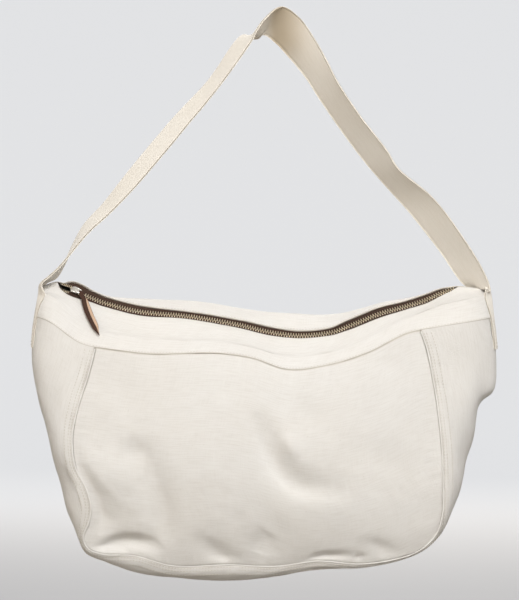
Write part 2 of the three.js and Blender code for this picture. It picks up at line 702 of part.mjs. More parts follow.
function sewnStations(isLeft) {
  const outward = isLeft ? -1 : 1;
  const bandHeightHere = isLeft
    ? yokeEnds.edgeLeft.distanceTo(topEnds.edgeLeft)
    : yokeEnds.edgeRight.distanceTo(topEnds.edgeRight);
  const gussetShare = (sewnLength - bandHeightHere) / edgeRail.getLength();
  const gussetRing = (level) => (share) => {
    const run = Math.max(level, 0) * gussetShare;
    return gusset(edgeRail.getUtoTmapping(isLeft ? run : 1 - run), 0.5 + 0.5 * share);
  };
  const bandRing = (level) => (share) => {
    const u = 0.25 * Math.abs(share);
    return (share < 0 ? frontBand : backBand)(isLeft ? u : 1 - u, level);
  };
  return [
    ...sewnGussetLevels.map((level) => sewnStation(gussetRing, level, outward)),
    ...sewnBandLevels.map((level) => sewnStation(bandRing, level, outward)),
  ];
}

function freeStation(row, corner) {
  const depthShare = -Math.sqrt(Math.max(0, 1 - row.leanAcross ** 2 - row.leanUp ** 2));
  const toFront = vector(row.leanAcross, depthShare, row.leanUp);
  const middle = vector(corner.x * row.along, 0, corner.z * row.down);
  return acrossStrap.map((share) => (
    middle.clone().addScaledVector(toFront, share * strapWidth / 2)));
}

function cornerStation(corner, outward) {
  return acrossStrap.map((share) => {
    const bow = -outward * cornerBow * share * share;
    return corner.clone().add(vector(bow, -share * strapWidth / 2, 0));
  });
}

const crestRow = { along: 0, down: 0, ...crestLean };
const strapStations = [
  ...sewnStations(true),
  cornerStation(leftCorner, -1),
  ...leftStrapRows.map((row) => freeStation(row, leftCorner)),
  freeStation(crestRow, leftCorner),
  ...rightStrapRows.map((row) => freeStation(row, rightCorner)),
  cornerStation(rightCorner, 1),
  ...sewnStations(false).reverse(),
];
const strapColumns = acrossStrap.map((_, k) => (
  new THREE.CatmullRomCurve3(strapStations.map((station) => station[k]), false, 'centripetal')));

function strapFace(u, v) {
  const column = v * (acrossStrap.length - 1);
  const k = Math.min(Math.floor(column), acrossStrap.length - 2);
  return strapColumns[k].getPoint(u).lerp(strapColumns[k + 1].getPoint(u), column - k);
}

function strap() {
  const outer = (u, v) => strapFace(u, v)
    .addScaledVector(normalOf(strapFace, u, v, -1), strapThickness);
  return shell(outer, strapFace, even(strapSteps), even(acrossStrap.length - 1));
}

// Welt: a thin round ridge that lies on the seam
function welt(curve, side) {
  const points = [];
  for (let i = 0; i <= weltStations; i += 1) {
    const share = lerp(weltStart, 1 - weltStart, i / weltStations);
    points.push(curve.getPointAt(share).add(vector(0, side * (weltRadius + seamGap), 0)));
  }
  const section = new THREE.Shape();
  for (let k = 0; k < weltSides; k += 1) {
    const angle = 2 * Math.PI * k / weltSides;
    const corner = [weltRadius * Math.cos(angle), weltRadius * Math.sin(angle)];
    if (k === 0) section.moveTo(...corner);
    else section.lineTo(...corner);
  }
  section.closePath();
  const path = new THREE.CatmullRomCurve3(points);
  return new THREE.ExtrudeGeometry(
    section, { steps: weltSteps, extrudePath: path, bevelEnabled: false });
}

// Slider and bail in the zip's own frame: x along the zip, y up the front, z out
const wasm = await Module();
wasm.setup();

function solidOf(geometry) {
  geometry.deleteAttribute('normal');
  geometry.deleteAttribute('uv');
  const merged = mergeVertices(geometry.index ? geometry.toNonIndexed() : geometry);
  return new wasm.Manifold(new wasm.Mesh({
    numProp: 3,
    vertProperties: new Float32Array(merged.attributes.position.array),
    triVerts: new Uint32Array(merged.index.array),
  }));
}

function geometryOf(solid) {
  const mesh = solid.getMesh();
  const geometry = new THREE.BufferGeometry();
  geometry.setAttribute('position', new THREE.BufferAttribute(mesh.vertProperties, 3));
  geometry.setIndex(new THREE.BufferAttribute(mesh.triVerts, 1));
  geometry.computeVertexNormals();
  return geometry;
}

const sliderTop = -chainLift + chainHeight / 2 + seamGap;
const sliderBottom = -chainLift - chainHeight / 2 - seamGap;

// Outline of a slider plate: rounded at the closed end, with two shoulders at the open end
function sliderPlateSolid(bottom) {
  const half = sliderLength / 2;
  const side = sliderWidth / 2;
  const outline = new THREE.Shape();
  const { shoulder, widest, taper, taperSide, round } = plateCorners;
  outline.moveTo(-half, -side * shoulder);
  outline.lineTo(-half * widest, -side);
  outline.lineTo(half * taper, -side * taperSide);
  outline.quadraticCurveTo(half, -side * round, half, 0);
  outline.quadraticCurveTo(half, side * round, half * taper, side * taperSide);
  outline.lineTo(-half * widest, side);
  outline.lineTo(-half, side * shoulder);
  outline.closePath();
  const plate = new THREE.ExtrudeGeometry(
    outline, { depth: sliderPlate, bevelEnabled: false, curveSegments: 5 });
  return solidOf(plate.translate(0, 0, bottom));
}

function bailSolid() {
  const outer = bailSpan / 2 + bailBar;
  const top = bailRise + bailBar;
  const sink = sliderPlate / 2;
  const outline = new THREE.Shape();
  outline.moveTo(-outer, -sink);
  outline.lineTo(-outer, top * bailCorner);
  outline.quadraticCurveTo(-outer, top, -outer * bailCorner, top);
  outline.lineTo(outer * bailCorner, top);
  outline.quadraticCurveTo(outer, top, outer, top * bailCorner);
  outline.lineTo(outer, -sink);
  outline.closePath();
  const hole = new THREE.Path();
  hole.moveTo(-bailSpan / 2, bailFoot);
  hole.lineTo(bailSpan / 2, bailFoot);
  hole.lineTo(bailSpan / 2, bailRise);
  hole.lineTo(-bailSpan / 2, bailRise);
  hole.closePath();
  outline.holes.push(hole);
  const bar = new THREE.ExtrudeGeometry(
    outline, { depth: bailWidth, bevelEnabled: false, curveSegments: 4 });
  bar.rotateX(Math.PI / 2).translate(0, bailWidth / 2, sliderTop + sliderPlate);
  return solidOf(bar);
}

function slider() {
  const neckHeight = sliderTop - sliderBottom + sliderPlate;
  const neck = new THREE.BoxGeometry(neckLength, neckWidth, neckHeight);
  neck.translate(-sliderLength / 2 + neckLength * neckPlace, 0, (sliderTop + sliderBottom) / 2);
  const solid = sliderPlateSolid(sliderTop).add(sliderPlateSolid(sliderBottom - sliderPlate))
    .add(solidOf(neck)).add(bailSolid());
  return geometryOf(solid);
}

const sliderShare = zipShareOf(sliderAcross);
const sliderFrame = zipFrame(sliderShare);
const barLevel = sliderTop + sliderPlate + bailRise + bailBar / 2;

// Thong: its two tails lie on the front facing; between them it turns round the bail's bar.
// reach is measured down the front from the bar, rise along the facing's normal.
function thongPoint(reach, rise) {
  const { middle, along, down, out } = sliderFrame;
  const drift = reach > 0 ? reach * thongDrift : 0;
  const edge = zipOpening(sliderShare);
  if (reach <= edge) {
    return middle.clone().addScaledVector(down, reach).addScaledVector(along, drift)
      .addScaledVector(out, rise);
  }
  const u = sliderShare + drift / (bodyWidth * (zipRows.at(-1).across - zipRows[0].across));
  const length = frontFacing(u, 1).distanceTo(frontFacing(u, 0));
  const v = 1 - (reach - zipOpening(u)) / length;
  const [surface, share] = v > 0 ? [frontFacing, v] : [frontBand, 1 + v * length / bandHeight(u)];
  const point = surface(u, share);
  return point.addScaledVector(normalOf(surface, u, share, 1), rise);
}
const bandHeight = (u) => frontCrease(u).distanceTo(frontYoke(u));

function thong() {
  const turn = bailBar / 2 + seamGap + thongThickness / 2;
  const lowRise = thongThickness / 2 + seamGap * 3;
  const highRise = lowRise + thongThickness + seamGap;
  const rows = [
    { reach: thongReach * 0.97, rise: lowRise },
    { reach: thongReach * 0.8, rise: lowRise },
    { reach: thongReach * 0.6, rise: lowRise },
    { reach: thongReach * 0.4, rise: lowRise },
    { reach: thongReach * 0.24, rise: lowRise + lowerTailLift },
    { reach: bailWidth * 1.8, rise: barLevel - turn * 1.05 },
    { reach: bailWidth / 2, rise: barLevel - turn },
    { reach: -bailWidth / 2, rise: barLevel - turn },
    { reach: -bailWidth / 2 - turn * 0.8, rise: barLevel - turn * 0.6 },
    { reach: -bailWidth / 2 - turn, rise: barLevel },
    { reach: -bailWidth / 2 - turn * 0.8, rise: barLevel + turn * 0.6 },
    { reach: -bailWidth / 2, rise: barLevel + turn },
    { reach: bailWidth / 2, rise: barLevel + turn },
    { reach: bailWidth * 2, rise: barLevel + turn * 0.6 },
    { reach: thongReach * 0.24, rise: highRise + upperTailLift },
    { reach: thongReach * 0.4, rise: highRise + upperTailSag },
    { reach: thongReach * 0.6, rise: highRise },
    { reach: thongReach * 0.8, rise: highRise },
    { reach: thongReach, rise: highRise },
  ];
  const path = new THREE.CatmullRomCurve3(
    rows.map((row) => thongPoint(row.reach, row.rise)), false, 'centripetal');
  const side = (level) => (u, v) => {
    const tangent = path.getTangent(u);
    const across = sliderFrame.along.clone();
    across.addScaledVector(tangent, -across.dot(tangent)).normalize();
    const normal = tangent.clone().cross(across);
    const end = Math.min(u, 1 - u);
    const taper = THREE.MathUtils.smoothstep(end, 0, thongTaper);
    const half = thongWidth / 2 * lerp(thongEndWidth, 1, taper);
    return path.getPoint(u).addScaledVector(across, lerp(-half, half, v))
      .addScaledVector(normal, level * thongThickness / 2);
  };
  return shell(side(1), side(-1), even(thongSteps), even(1));
}

// Finishes
const finish = (color, roughness, metalness = 0) => (
  new THREE.MeshStandardMaterial({ color, roughness, metalness }));
const canvasFinish = () => finish(0xe9e2d6, 0.92);
const tapeFinish = () => finish(0x2a1a12, 0.85);
const brassFinish = () => finish(0x8a6a3c, 0.4, 1);

const bag = new THREE.Group();

function add(name, geometry, material) {
  const mesh = new THREE.Mesh(geometry, material);
  mesh.name = name;
  bag.add(mesh);
  return mesh;
}

// Sewn neighbours share the places of their corners along the seam between them.
// endPlaces are shares of the way round a bag end, from the outline to the front or back seam.
const endPlaces = [0, 0.25, 0.4, 0.53, 0.72, 1];
const leftShare = lengthShare(seamRail, leftCornerRow);
const rightShare = lengthShare(seamRail, rightCornerRow);
const seamStations = [
  ...even(sideSteps, 0, leftShare),
  ...even(middleSteps, leftShare, rightShare).slice(1),
  ...even(sideSteps, rightShare, 1).slice(1),
];
function loopStations(near) {
  const [left, right] = endShares(yokeEnds, near);
  return [
    ...endPlaces.map((share) => share * left),
    ...even(middleSteps, left, right).slice(1, -1),
    ...endPlaces.map((share) => lerp(1, right, share)).reverse(),
  ];
}
const turnPlaces = [
  ...endPlaces.map((share) => 0.5 - share / 2).reverse(),
  ...endPlaces.slice(1).map((share) => 0.5 + share / 2),
];
const gussetPatch = (s, turn) => gusset(seamRail.getUtoTmapping(s), turn);

add('front_panel',
  cloth(frontPanel, -1, even(middleSteps), even(sideSteps), widerGap), canvasFinish());
add('back_panel', cloth(backPanel, 1, even(backSteps.across), even(backSteps.down)), canvasFinish());
add('gusset', cloth(gussetPatch, -1, seamStations, turnPlaces, widerGap), canvasFinish());
add('front_top_band',
  cloth(frontBand, 1, loopStations('front'), even(bandSteps), widerGap), canvasFinish());
add('back_top_band',
  cloth(backBand, -1, loopStations('back'), even(bandSteps), widerGap), canvasFinish());
add('front_zip_facing', cloth(frontFacing, 1, loopStations('front'), even(facingSteps)), canvasFinish());
add('back_zip_facing', cloth(backFacing, -1, loopStations('back'), even(facingSteps)), canvasFinish());
add('zip_tape_front', tape(frontFacing, 1, loopStations('front')), tapeFinish());
add('zip_tape_back', tape(backFacing, -1, loopStations('back')), tapeFinish());
add('zip_teeth',
  zipBar(chainStartAcross, chainEndAcross, () => 0, chainWidth / 2, chainSteps), brassFinish());
const rowOffset = (u) => tapeInner(u) - toothRowWidth / 2 - seamGap * 2;
add('zip_teeth_open_front',
  zipBar(eyeStartAcross, eyeEndAcross, rowOffset, toothRowWidth / 2, eyeSteps), brassFinish());
add('zip_teeth_open_back',
  zipBar(eyeStartAcross, eyeEndAcross, (u) => -rowOffset(u), toothRowWidth / 2, eyeSteps), brassFinish());
const sliderMesh = add('zip_slider', slider(), finish(0xc9c7c2, 0.28, 1));
sliderMesh.position.copy(sliderFrame.middle);
sliderMesh.setRotationFromMatrix(new THREE.Matrix4().makeBasis(
  sliderFrame.along, sliderFrame.down.clone().negate(), sliderFrame.out));
add('pull_thong', thong(), finish(0x3a2418, 0.7));
add('shoulder_strap', strap(), finish(0xe6ddce, 0.9));
add('front_seam_welt', welt(seamRail, -1), canvasFinish());
add('back_seam_welt', welt(backRail, 1), canvasFinish());

export default bag;
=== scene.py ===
"""Newspaper delivery bag of undyed canvas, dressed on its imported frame.

The forms are worked out in millimetres in the row frame, from the same sizes and tables as the
part's source, and become metres when a mesh is made. +X is right, +Y is back and +Z is up.
"""

import logging
import math
from dataclasses import dataclass
from enum import Enum
from typing import Callable, Sequence

import bpy
import numpy as np
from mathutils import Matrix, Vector


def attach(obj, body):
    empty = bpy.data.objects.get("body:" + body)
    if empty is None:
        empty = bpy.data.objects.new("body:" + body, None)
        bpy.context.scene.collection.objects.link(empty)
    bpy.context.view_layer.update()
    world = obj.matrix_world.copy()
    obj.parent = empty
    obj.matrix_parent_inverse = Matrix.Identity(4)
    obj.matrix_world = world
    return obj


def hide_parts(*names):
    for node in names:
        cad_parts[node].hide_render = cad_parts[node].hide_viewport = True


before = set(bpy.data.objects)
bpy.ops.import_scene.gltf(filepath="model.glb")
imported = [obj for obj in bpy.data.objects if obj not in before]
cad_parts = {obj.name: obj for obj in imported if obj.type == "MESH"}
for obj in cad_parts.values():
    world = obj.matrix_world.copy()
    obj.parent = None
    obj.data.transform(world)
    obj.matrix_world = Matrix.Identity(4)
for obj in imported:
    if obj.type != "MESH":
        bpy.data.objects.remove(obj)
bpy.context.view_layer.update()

LOG = logging.getLogger("delivery_bag")
MILLIMETRE = 0.001
TINY = 1e-9
# How far apart the shares lie at which a surface's slope is read
SLOPE_STEP = 0.002

Grid = np.ndarray
Loop = Callable[[Grid], Grid]
Surface = Callable[[Grid, Grid], Grid]
Relief = Callable[[Grid, Grid], Grid]
Colour = tuple[float, float, float, float]
Piece, Material = bpy.types.Object, bpy.types.Material
Tree, Node = bpy.types.NodeTree, bpy.types.Node
Socket, Sockets = bpy.types.NodeSocket, bpy.types.NodeOutputs


class Side(Enum):
    """Which half of the bag a piece belongs to."""

    FRONT = -1
    BACK = 1

    @property
    def word(self) -> str:
        """The side's word in the names of pieces and nodes."""
        return self.name.lower()


class End(Enum):
    """Which end of the bag, as seen from the front."""

    LEFT = -1
    RIGHT = 1


def lerp(low: Grid, high: Grid, share: Grid) -> Grid:
    """Value that lies share of the way from low to high."""
    return low + (high - low) * share


def smoothstep(value: Grid, low: float, high: float) -> Grid:
    """Smooth rise from 0 at low to 1 at high."""
    share = np.clip((np.asarray(value, float) - low) / (high - low), 0, 1)
    return share * share * (3 - 2 * share)


def unit(vectors: Grid) -> Grid:
    """Vectors scaled to length one."""
    return vectors / np.maximum(np.linalg.norm(vectors, axis=-1, keepdims=True), TINY)


def dot(first: Grid, second: Grid) -> Grid:
    """Dot product along the last axis, which is kept."""
    return np.sum(first * second, axis=-1, keepdims=True)


def run_along(points: Grid, axis: int = 0) -> Grid:
    """Length from the first point to each point, along one axis of a grid of points."""
    steps = np.linalg.norm(np.diff(points, axis=axis), axis=-1)
    return np.insert(np.cumsum(steps, axis=axis), 0, 0, axis=axis)


def superellipse(angle: Grid, power: float) -> tuple[Grid, Grid]:
    """Place on an outline between a circle, at power 2, and a square."""
    cosine, sine = np.cos(angle), np.sin(angle)
    size = (np.abs(cosine) ** power + np.abs(sine) ** power) ** (1 / power)
    return cosine / size, sine / size


def full_turn(count: int) -> Grid:
    """Even angles round a circle."""
    return np.linspace(0, 2 * math.pi, count + 1)[:-1]


def along_table(keys: Sequence[float], values: Sequence[float], at: Grid) -> Grid:
    """Smooth value of a table's column at any place along its key column.

    Args:
        keys: The key column, rising.
        values: The column that is read.
        at: Places along the key column.

    Returns:
        The column's cubic value at each place.
    """
    k, v, at = np.asarray(keys, float), np.asarray(values, float), np.asarray(at, float)
    last = len(k) - 1
    i = np.clip(np.searchsorted(k, at, side="left") - 1, 0, last - 1)
    low, high = np.maximum(i - 1, 0), np.minimum(i + 2, last)
    span = k[i + 1] - k[i]
    t = np.clip((at - k[i]) / span, 0, 1)
    slope_in = (v[i + 1] - v[low]) / (k[i + 1] - k[low]) * span
    slope_out = (v[high] - v[i]) / (k[high] - k[i]) * span
    return (
        v[i] * (2 * t**3 - 3 * t**2 + 1)
        + slope_in * (t**3 - 2 * t**2 + t)
        + v[i + 1] * (3 * t**2 - 2 * t**3)
        + slope_out * (t**3 - t**2)
    )


class Rail:
    """Smooth centripetal curve through points, read by row or by length."""

    samples_a_point = 40
    least_gap = 1e-4

    def __init__(self, points: Grid) -> None:
        """Keep the points and measure the curve.

        Args:
            points: The points that the curve passes through.
        """
        self.points = np.asarray(points, float)
        first = 2 * self.points[0] - self.points[1]
        last = 2 * self.points[-1] - self.points[-2]
        self.knots = np.vstack([first, self.points, last])
        self.samples = np.linspace(0, 1, self.samples_a_point * len(self.points))
        self.lengths = run_along(self.at(self.samples))

    @property
    def length(self) -> float:
        """Length of the whole curve."""
        return float(self.lengths[-1])

    def at(self, t: Grid) -> Grid:
        """Points at shares of the way through the rows.

        Args:
            t: 0 at the first point, 1 at the last.

        Returns:
            Points of the curve.
        """
        place = np.asarray(t, float) * (len(self.points) - 1)
        i = np.clip(np.floor(place).astype(int), 0, len(self.points) - 2)
        w = (place - i)[..., None]
        a, b, c, d = (self.knots[i + k] for k in range(4))
        gap = [np.maximum(np.linalg.norm(q - p, axis=-1, keepdims=True), self.least_gap) ** 0.5
               for p, q in ((a, b), (b, c), (c, d))]
        first = (b - a) / gap[0] - (c - a) / (gap[0] + gap[1]) + (c - b) / gap[1]
        second = (c - b) / gap[1] - (d - b) / (gap[1] + gap[2]) + (d - c) / gap[2]
        first, second = first * gap[1], second * gap[1]
        return (
            b + first * w + (3 * c - 3 * b - 2 * first - second) * w**2
            + (2 * b - 2 * c + first + second) * w**3
        )

    def row_share(self, share: Grid) -> Grid:
        """Share of the rows at a share of the length."""
        return np.interp(np.asarray(share, float) * self.length, self.lengths, self.samples)

    def length_share(self, row: float) -> float:
        """Share of the length at a row of the table."""
        t = row / (len(self.points) - 1)
        return float(np.interp(t, self.samples, self.lengths) / self.length)

    def at_length(self, share: Grid) -> Grid:
        """Points at shares of the length."""
        return self.at(self.row_share(share))


@dataclass
class BagForm:
    """Sizes and tables of the bag, and the surfaces that they give.

    Lengths are in millimetres. "Across" is a share of the body's width from its middle, "fall" a
    share of its height from the top corners, and the tables hold such shares.
    """

    body_width: float = 556
    body_height: float = 355
    strap_drop: float = 314
    body_offset: float = -10
    front_depth: float = 58
    back_depth: float = 46
    front_belly: float = 17
    back_belly: float = 8
    open_half: float = 6.5
    zip_slope: float = 0.9
    end_boxiness: float = 2.8
    yoke_wave: float = -0.1
    back_seam_share: float = 0.85
    back_smoothing: int = 3
    crease_share: float = 0.74
    left_corner_row: float = 9.5
    right_corner_row: float = 20
    # How fast the left end's wave fades down the gusset
    wave_fade: float = 12
    belly_power: float = 0.8
    # Shares that shape a facing's curve between its outer edge and the zip
    front_bend: float = 0.3
    back_bend: float = 0.08
    kink_reach: float = 0.67
    smooth_reach: float = 0.36
    smooth_from: float = 0.1
    smooth_to: float = 0.24
    slope_step: float = 0.004
    # How the folds are measured, how pointed their ends are, and where they fade at a seam
    fold_stations: int = 36
    fold_tip: float = 0.06
    fold_taper: float = 0.6
    fold_turn: float = 0.9
    fold_margin: float = 0.05

    # Columns: seam across, seam fall, edge across, edge fall
    gusset_rows: tuple = (
        (-0.359, 0.216, -0.494, 0.115), (-0.374, 0.309, -0.500, 0.209),
        (-0.393, 0.402, -0.495, 0.297), (-0.406, 0.498, -0.483, 0.402),
        (-0.406, 0.551, -0.468, 0.490), (-0.399, 0.614, -0.455, 0.584),
        (-0.378, 0.677, -0.440, 0.679), (-0.367, 0.743, -0.424, 0.760),
        (-0.372, 0.792, -0.409, 0.814), (-0.384, 0.845, -0.396, 0.861),
        (-0.374, 0.882, -0.380, 0.905), (-0.342, 0.902, -0.340, 0.932),
        (-0.277, 0.907, -0.273, 0.973), (-0.196, 0.941, -0.194, 0.993),
        (-0.074, 0.938, -0.075, 1.000), (0.024, 0.943, 0.024, 0.986),
        (0.112, 0.925, 0.115, 0.966), (0.205, 0.935, 0.210, 0.953),
        (0.286, 0.915, 0.295, 0.922), (0.328, 0.888, 0.344, 0.885),
        (0.360, 0.839, 0.378, 0.831), (0.374, 0.779, 0.400, 0.764),
        (0.376, 0.677, 0.423, 0.666), (0.374, 0.554, 0.443, 0.554),
        (0.366, 0.422, 0.462, 0.429), (0.355, 0.309, 0.496, 0.355),
        (0.343, 0.216, 0.499, 0.233), (0.330, 0.158, 0.492, 0.118),
    )
    # Columns: fall, share of the depth
    depth_rows: tuple = (
        (0.1, 0.74), (0.3, 0.86), (0.5, 0.96), (0.7, 1.0), (0.86, 0.88), (1.0, 0.68),
    )
    # Columns: across, fall
    front_yoke_rows: tuple = (
        (-0.2455, 0.2365), (-0.1035, 0.2345), (-0.027, 0.25), (0.049, 0.288),
        (0.136, 0.273), (0.2185, 0.232), (0.295, 0.1725),
    )
    back_yoke_rows: tuple = ((-0.2, 0.22), (0.02, 0.25), (0.22, 0.21))
    crease_left: tuple = (-0.485, 0.03)
    crease_right: tuple = (0.486, 0.037)
    front_crease_rows: tuple = (
        (-0.352, 0.159), (-0.309, 0.176), (-0.247, 0.189), (-0.103, 0.196), (-0.027, 0.216),
        (0.05, 0.247), (0.137, 0.232), (0.22, 0.186), (0.296, 0.125), (0.375, 0.075),
    )
    # Columns: across, fall, share of the back depth
    crest_rows: tuple = (
        (-0.37, 0.048, 0.72), (-0.267, 0.066, 0.64), (-0.15, 0.071, 0.54),
        (-0.01, 0.103, 0.46), (0.076, 0.111, 0.44), (0.139, 0.114, 0.44),
        (0.178, 0.107, 0.46), (0.2465, 0.082, 0.54), (0.3, 0.066, 0.64), (0.37, 0.044, 0.72),
    )
    # Columns: across, fall, share of the front depth, share of the open half
    zip_rows: tuple = (
        (-0.478, 0.010, 0, 0), (-0.448, -0.003, 0.02, 0), (-0.435, 0.010, 0.04, 0.95),
        (-0.418, 0.017, 0.06, 1.85), (-0.400, 0.028, 0.08, 1.95), (-0.375, 0.044, 0.1, 1.5),
        (-0.342, 0.064, 0.12, 1.34), (-0.267, 0.093, 0.14, 1.3), (-0.159, 0.110, 0.15, 0.96),
        (-0.051, 0.139, 0.15, 1.05), (0.014, 0.163, 0.15, 1.1), (0.076, 0.174, 0.15, 0.98),
        (0.141, 0.164, 0.15, 1), (0.181, 0.141, 0.14, 1.28), (0.246, 0.100, 0.12, 1.35),
        (0.299, 0.077, 0.1, 1.12), (0.344, 0.055, 0.08, 1.15), (0.378, 0.032, 0.05, 0.9),
        (0.400, 0.021, 0.03, 0.5), (0.419, 0.013, 0.02, 0), (0.480, 0.022, 0, 0),
    )
    # Columns: places (across, fall) along the fold, depth, width above it, width below it
    fold_rows: tuple = (
        (((-0.404, 0.615), (-0.380, 0.700), (-0.352, 0.765), (-0.325, 0.800)), 8, 14, 30),
        (((-0.385, 0.575), (-0.345, 0.640), (-0.300, 0.715)), -5, 34, 11.5),
        (((-0.300, 0.548), (-0.275, 0.556), (-0.240, 0.585)), 4.2, 14, 18),
        (((-0.262, 0.580), (-0.228, 0.690), (-0.216, 0.800), (-0.235, 0.850)), 8.5, 17, 22),
        (((-0.362, 0.900), (-0.325, 0.862), (-0.290, 0.850), (-0.236, 0.862)), 9, 6, 10),
        (((-0.305, 0.885), (-0.270, 0.918), (-0.228, 0.950)), 6, 5, 7),
        (((-0.015, 0.465), (0.004, 0.540), (0.024, 0.605), (0.062, 0.662), (0.140, 0.690)),
         9, 17, 13),
        (((0.041, 0.503), (0.066, 0.580)), -4.0, 12, 10),
        (((-0.135, 0.862), (-0.105, 0.890), (-0.065, 0.940)), 5.5, 12, 13),
        (((-0.010, 0.900), (0.000, 0.860), (0.012, 0.825)), 5, 15, 17),
        (((0.086, 0.930), (0.120, 0.910), (0.170, 0.905)), 7, 5, 9),
        (((0.190, 0.905), (0.205, 0.925)), 4, 6, 6),
        (((0.218, 0.862), (0.249, 0.878), (0.275, 0.889)), 3.5, 8, 12),
        (((0.070, 0.405), (0.118, 0.476)), 2.5, 16, 18),
        (((0.264, 0.240), (0.275, 0.310)), 2.2, 14, 14),
        (((-0.33, 0.30), (-0.27, 0.42)), 1.6, 20, 22),
        (((0.20, 0.55), (0.31, 0.62)), 2.0, 22, 26),
    )

    def __post_init__(self) -> None:
        """Work out the rails and the loops that the surfaces hang between."""
        rows = np.array(self.gusset_rows)
        self.seam_rail = Rail(self.place(
            rows[:, 0], rows[:, 1], -self.front_depth * self.seam_depth(rows[:, 1])))
        self.edge_rail = Rail(self.place(rows[:, 2], rows[:, 3], 0))
        count = len(rows)
        smooth = np.array([
            rows[i - reach:i + reach + 1].mean(axis=0)
            for i in range(count) for reach in [min(self.back_smoothing, i, count - 1 - i)]])
        across = lerp(rows[:, 2], smooth[:, 0], self.back_seam_share)
        fall = lerp(rows[:, 3], smooth[:, 1], self.back_seam_share)
        self.back_rail = Rail(self.place(across, fall, self.back_depth * self.seam_depth(fall)))
        self.yoke_ends = {
            f"{name}_{end}": rail.at(np.array(t))
            for name, rail in (
                ("front", self.seam_rail), ("edge", self.edge_rail), ("back", self.back_rail))
            for end, t in (("left", 0.0), ("right", 1.0))}
        crease, crest = np.array(self.front_crease_rows), np.array(self.crest_rows)
        self.top_ends = {
            "front_left": self.crease_point(*crease[0]),
            "front_right": self.crease_point(*crease[-1]),
            "edge_left": self.place(*self.crease_left, 0),
            "edge_right": self.place(*self.crease_right, 0),
            "back_left": self.crest_point(*crest[0, :2]),
            "back_right": self.crest_point(*crest[-1, :2])}
        self.front_yoke_middle = self.stretch(
            self.yoke_ends, "front", self.front_yoke_rows,
            lambda across, fall: -self.front_depth * self.seam_depth(fall))
        self.back_yoke_middle = self.stretch(
            self.yoke_ends, "back", self.back_yoke_rows,
            lambda across, fall: self.back_depth * self.seam_depth(fall))
        self.front_yoke = self.half_loop(self.yoke_ends, self.front_yoke_middle, "front")
        self.back_yoke = self.half_loop(self.yoke_ends, self.back_yoke_middle, "back")
        self.front_crease = self.half_loop(self.top_ends, self.stretch(
            self.top_ends, "front", self.front_crease_rows[1:-1],
            lambda across, fall: self.crease_point(across, fall)[..., 1]), "front")
        self.back_crest = self.half_loop(self.top_ends, self.stretch(
            self.top_ends, "back", [row[:2] for row in self.crest_rows[1:-1]],
            lambda across, fall: self.crest_point(across, fall)[..., 1]), "back")

    def place(self, across: Grid, fall: Grid, depth: Grid) -> Grid:
        """Point from its share across the body, its share of the fall and its depth.

        Args:
            across: Share of the body's width, from its middle.
            fall: Share of the body's height, from the top corners down.
            depth: Millimetres toward the back.

        Returns:
            Points in millimetres.
        """
        across, fall, depth = np.broadcast_arrays(
            np.asarray(across, float), np.asarray(fall, float), np.asarray(depth, float))
        return np.stack([self.body_offset + across * self.body_width, depth,
                         -self.strap_drop - fall * self.body_height], axis=-1)

    def seam_depth(self, fall: Grid) -> Grid:
        """Share of the body's depth at a fall."""
        rows = np.array(self.depth_rows)
        return along_table(rows[:, 0], rows[:, 1], fall)

    def crease_point(self, across: Grid, fall: Grid) -> Grid:
        """Point of the front facing's outer edge."""
        return self.place(across, fall,
                          -self.crease_share * self.front_depth * self.seam_depth(fall))

    def crest_point(self, across: Grid, fall: Grid) -> Grid:
        """Point of the back crest."""
        rows = np.array(self.crest_rows)
        return self.place(across, fall,
                          self.back_depth * along_table(rows[:, 0], rows[:, 2], across))

    def end_section(self, front: Grid, edge: Grid, back: Grid, turn: Grid) -> Grid:
        """Rounded section of a bag end, from its front point round the outline to its back.

        Args:
            front: Front points.
            edge: Points of the outline.
            back: Back points.
            turn: 0 at the front, 0.5 at the outline, 1 at the back.

        Returns:
            Points of the section.
        """
        toward_seam, toward_edge = superellipse(
            math.pi * np.asarray(turn, float)[..., None], self.end_boxiness)
        near = np.where(toward_seam >= 0, front, back)
        point = lerp(near, edge, np.abs(toward_edge))
        depth = lerp(edge[..., 1:2], near[..., 1:2], np.abs(toward_seam))
        return np.concatenate([point[..., :1], depth, point[..., 2:]], axis=-1)

    def with_wave(self, point: Grid, front: Grid, edge: Grid, fade: Grid) -> Grid:
        """The left end's soft wave of the yoke seam, added to points.

        Args:
            point: Points of an end section.
            front: The section's front points.
            edge: The section's points on the outline.
            fade: How much of the wave is left.

        Returns:
            The moved points.
        """
        run = (edge - front)[..., 0]
        safe = np.where(np.abs(run) < 1, 1, run)
        share = np.where(np.abs(run) < 1, 0, (point - front)[..., 0] / safe)
        lift = self.yoke_wave * (edge - front)[..., 2] * np.sin(2 * math.pi * share) * fade
        return point + np.stack([0 * lift, 0 * lift, lift], axis=-1)

    def gusset(self, t: Grid, turn: Grid) -> Grid:
        """Gusset at a share of its rows and a turn from front to back."""
        front, edge, back = self.seam_rail.at(t), self.edge_rail.at(t), self.back_rail.at(t)
        point = self.end_section(front, edge, back, turn)
        return self.with_wave(point, front, edge, np.maximum(0, 1 - np.asarray(t) * self.wave_fade))

    def gusset_by_length(self, share: Grid, turn: Grid) -> Grid:
        """Gusset at a share of the front seam's length."""
        return self.gusset(self.seam_rail.row_share(share), turn)

    def end_shares(self, ends: dict, near: str) -> tuple[float, float]:
        """Shares of a loop where its rounded ends stop."""
        span = ends["edge_right"][0] - ends["edge_left"][0]
        return tuple(
            float((ends[f"{near}_{end}"][0] - ends["edge_left"][0]) / span)
            for end in ("left", "right"))

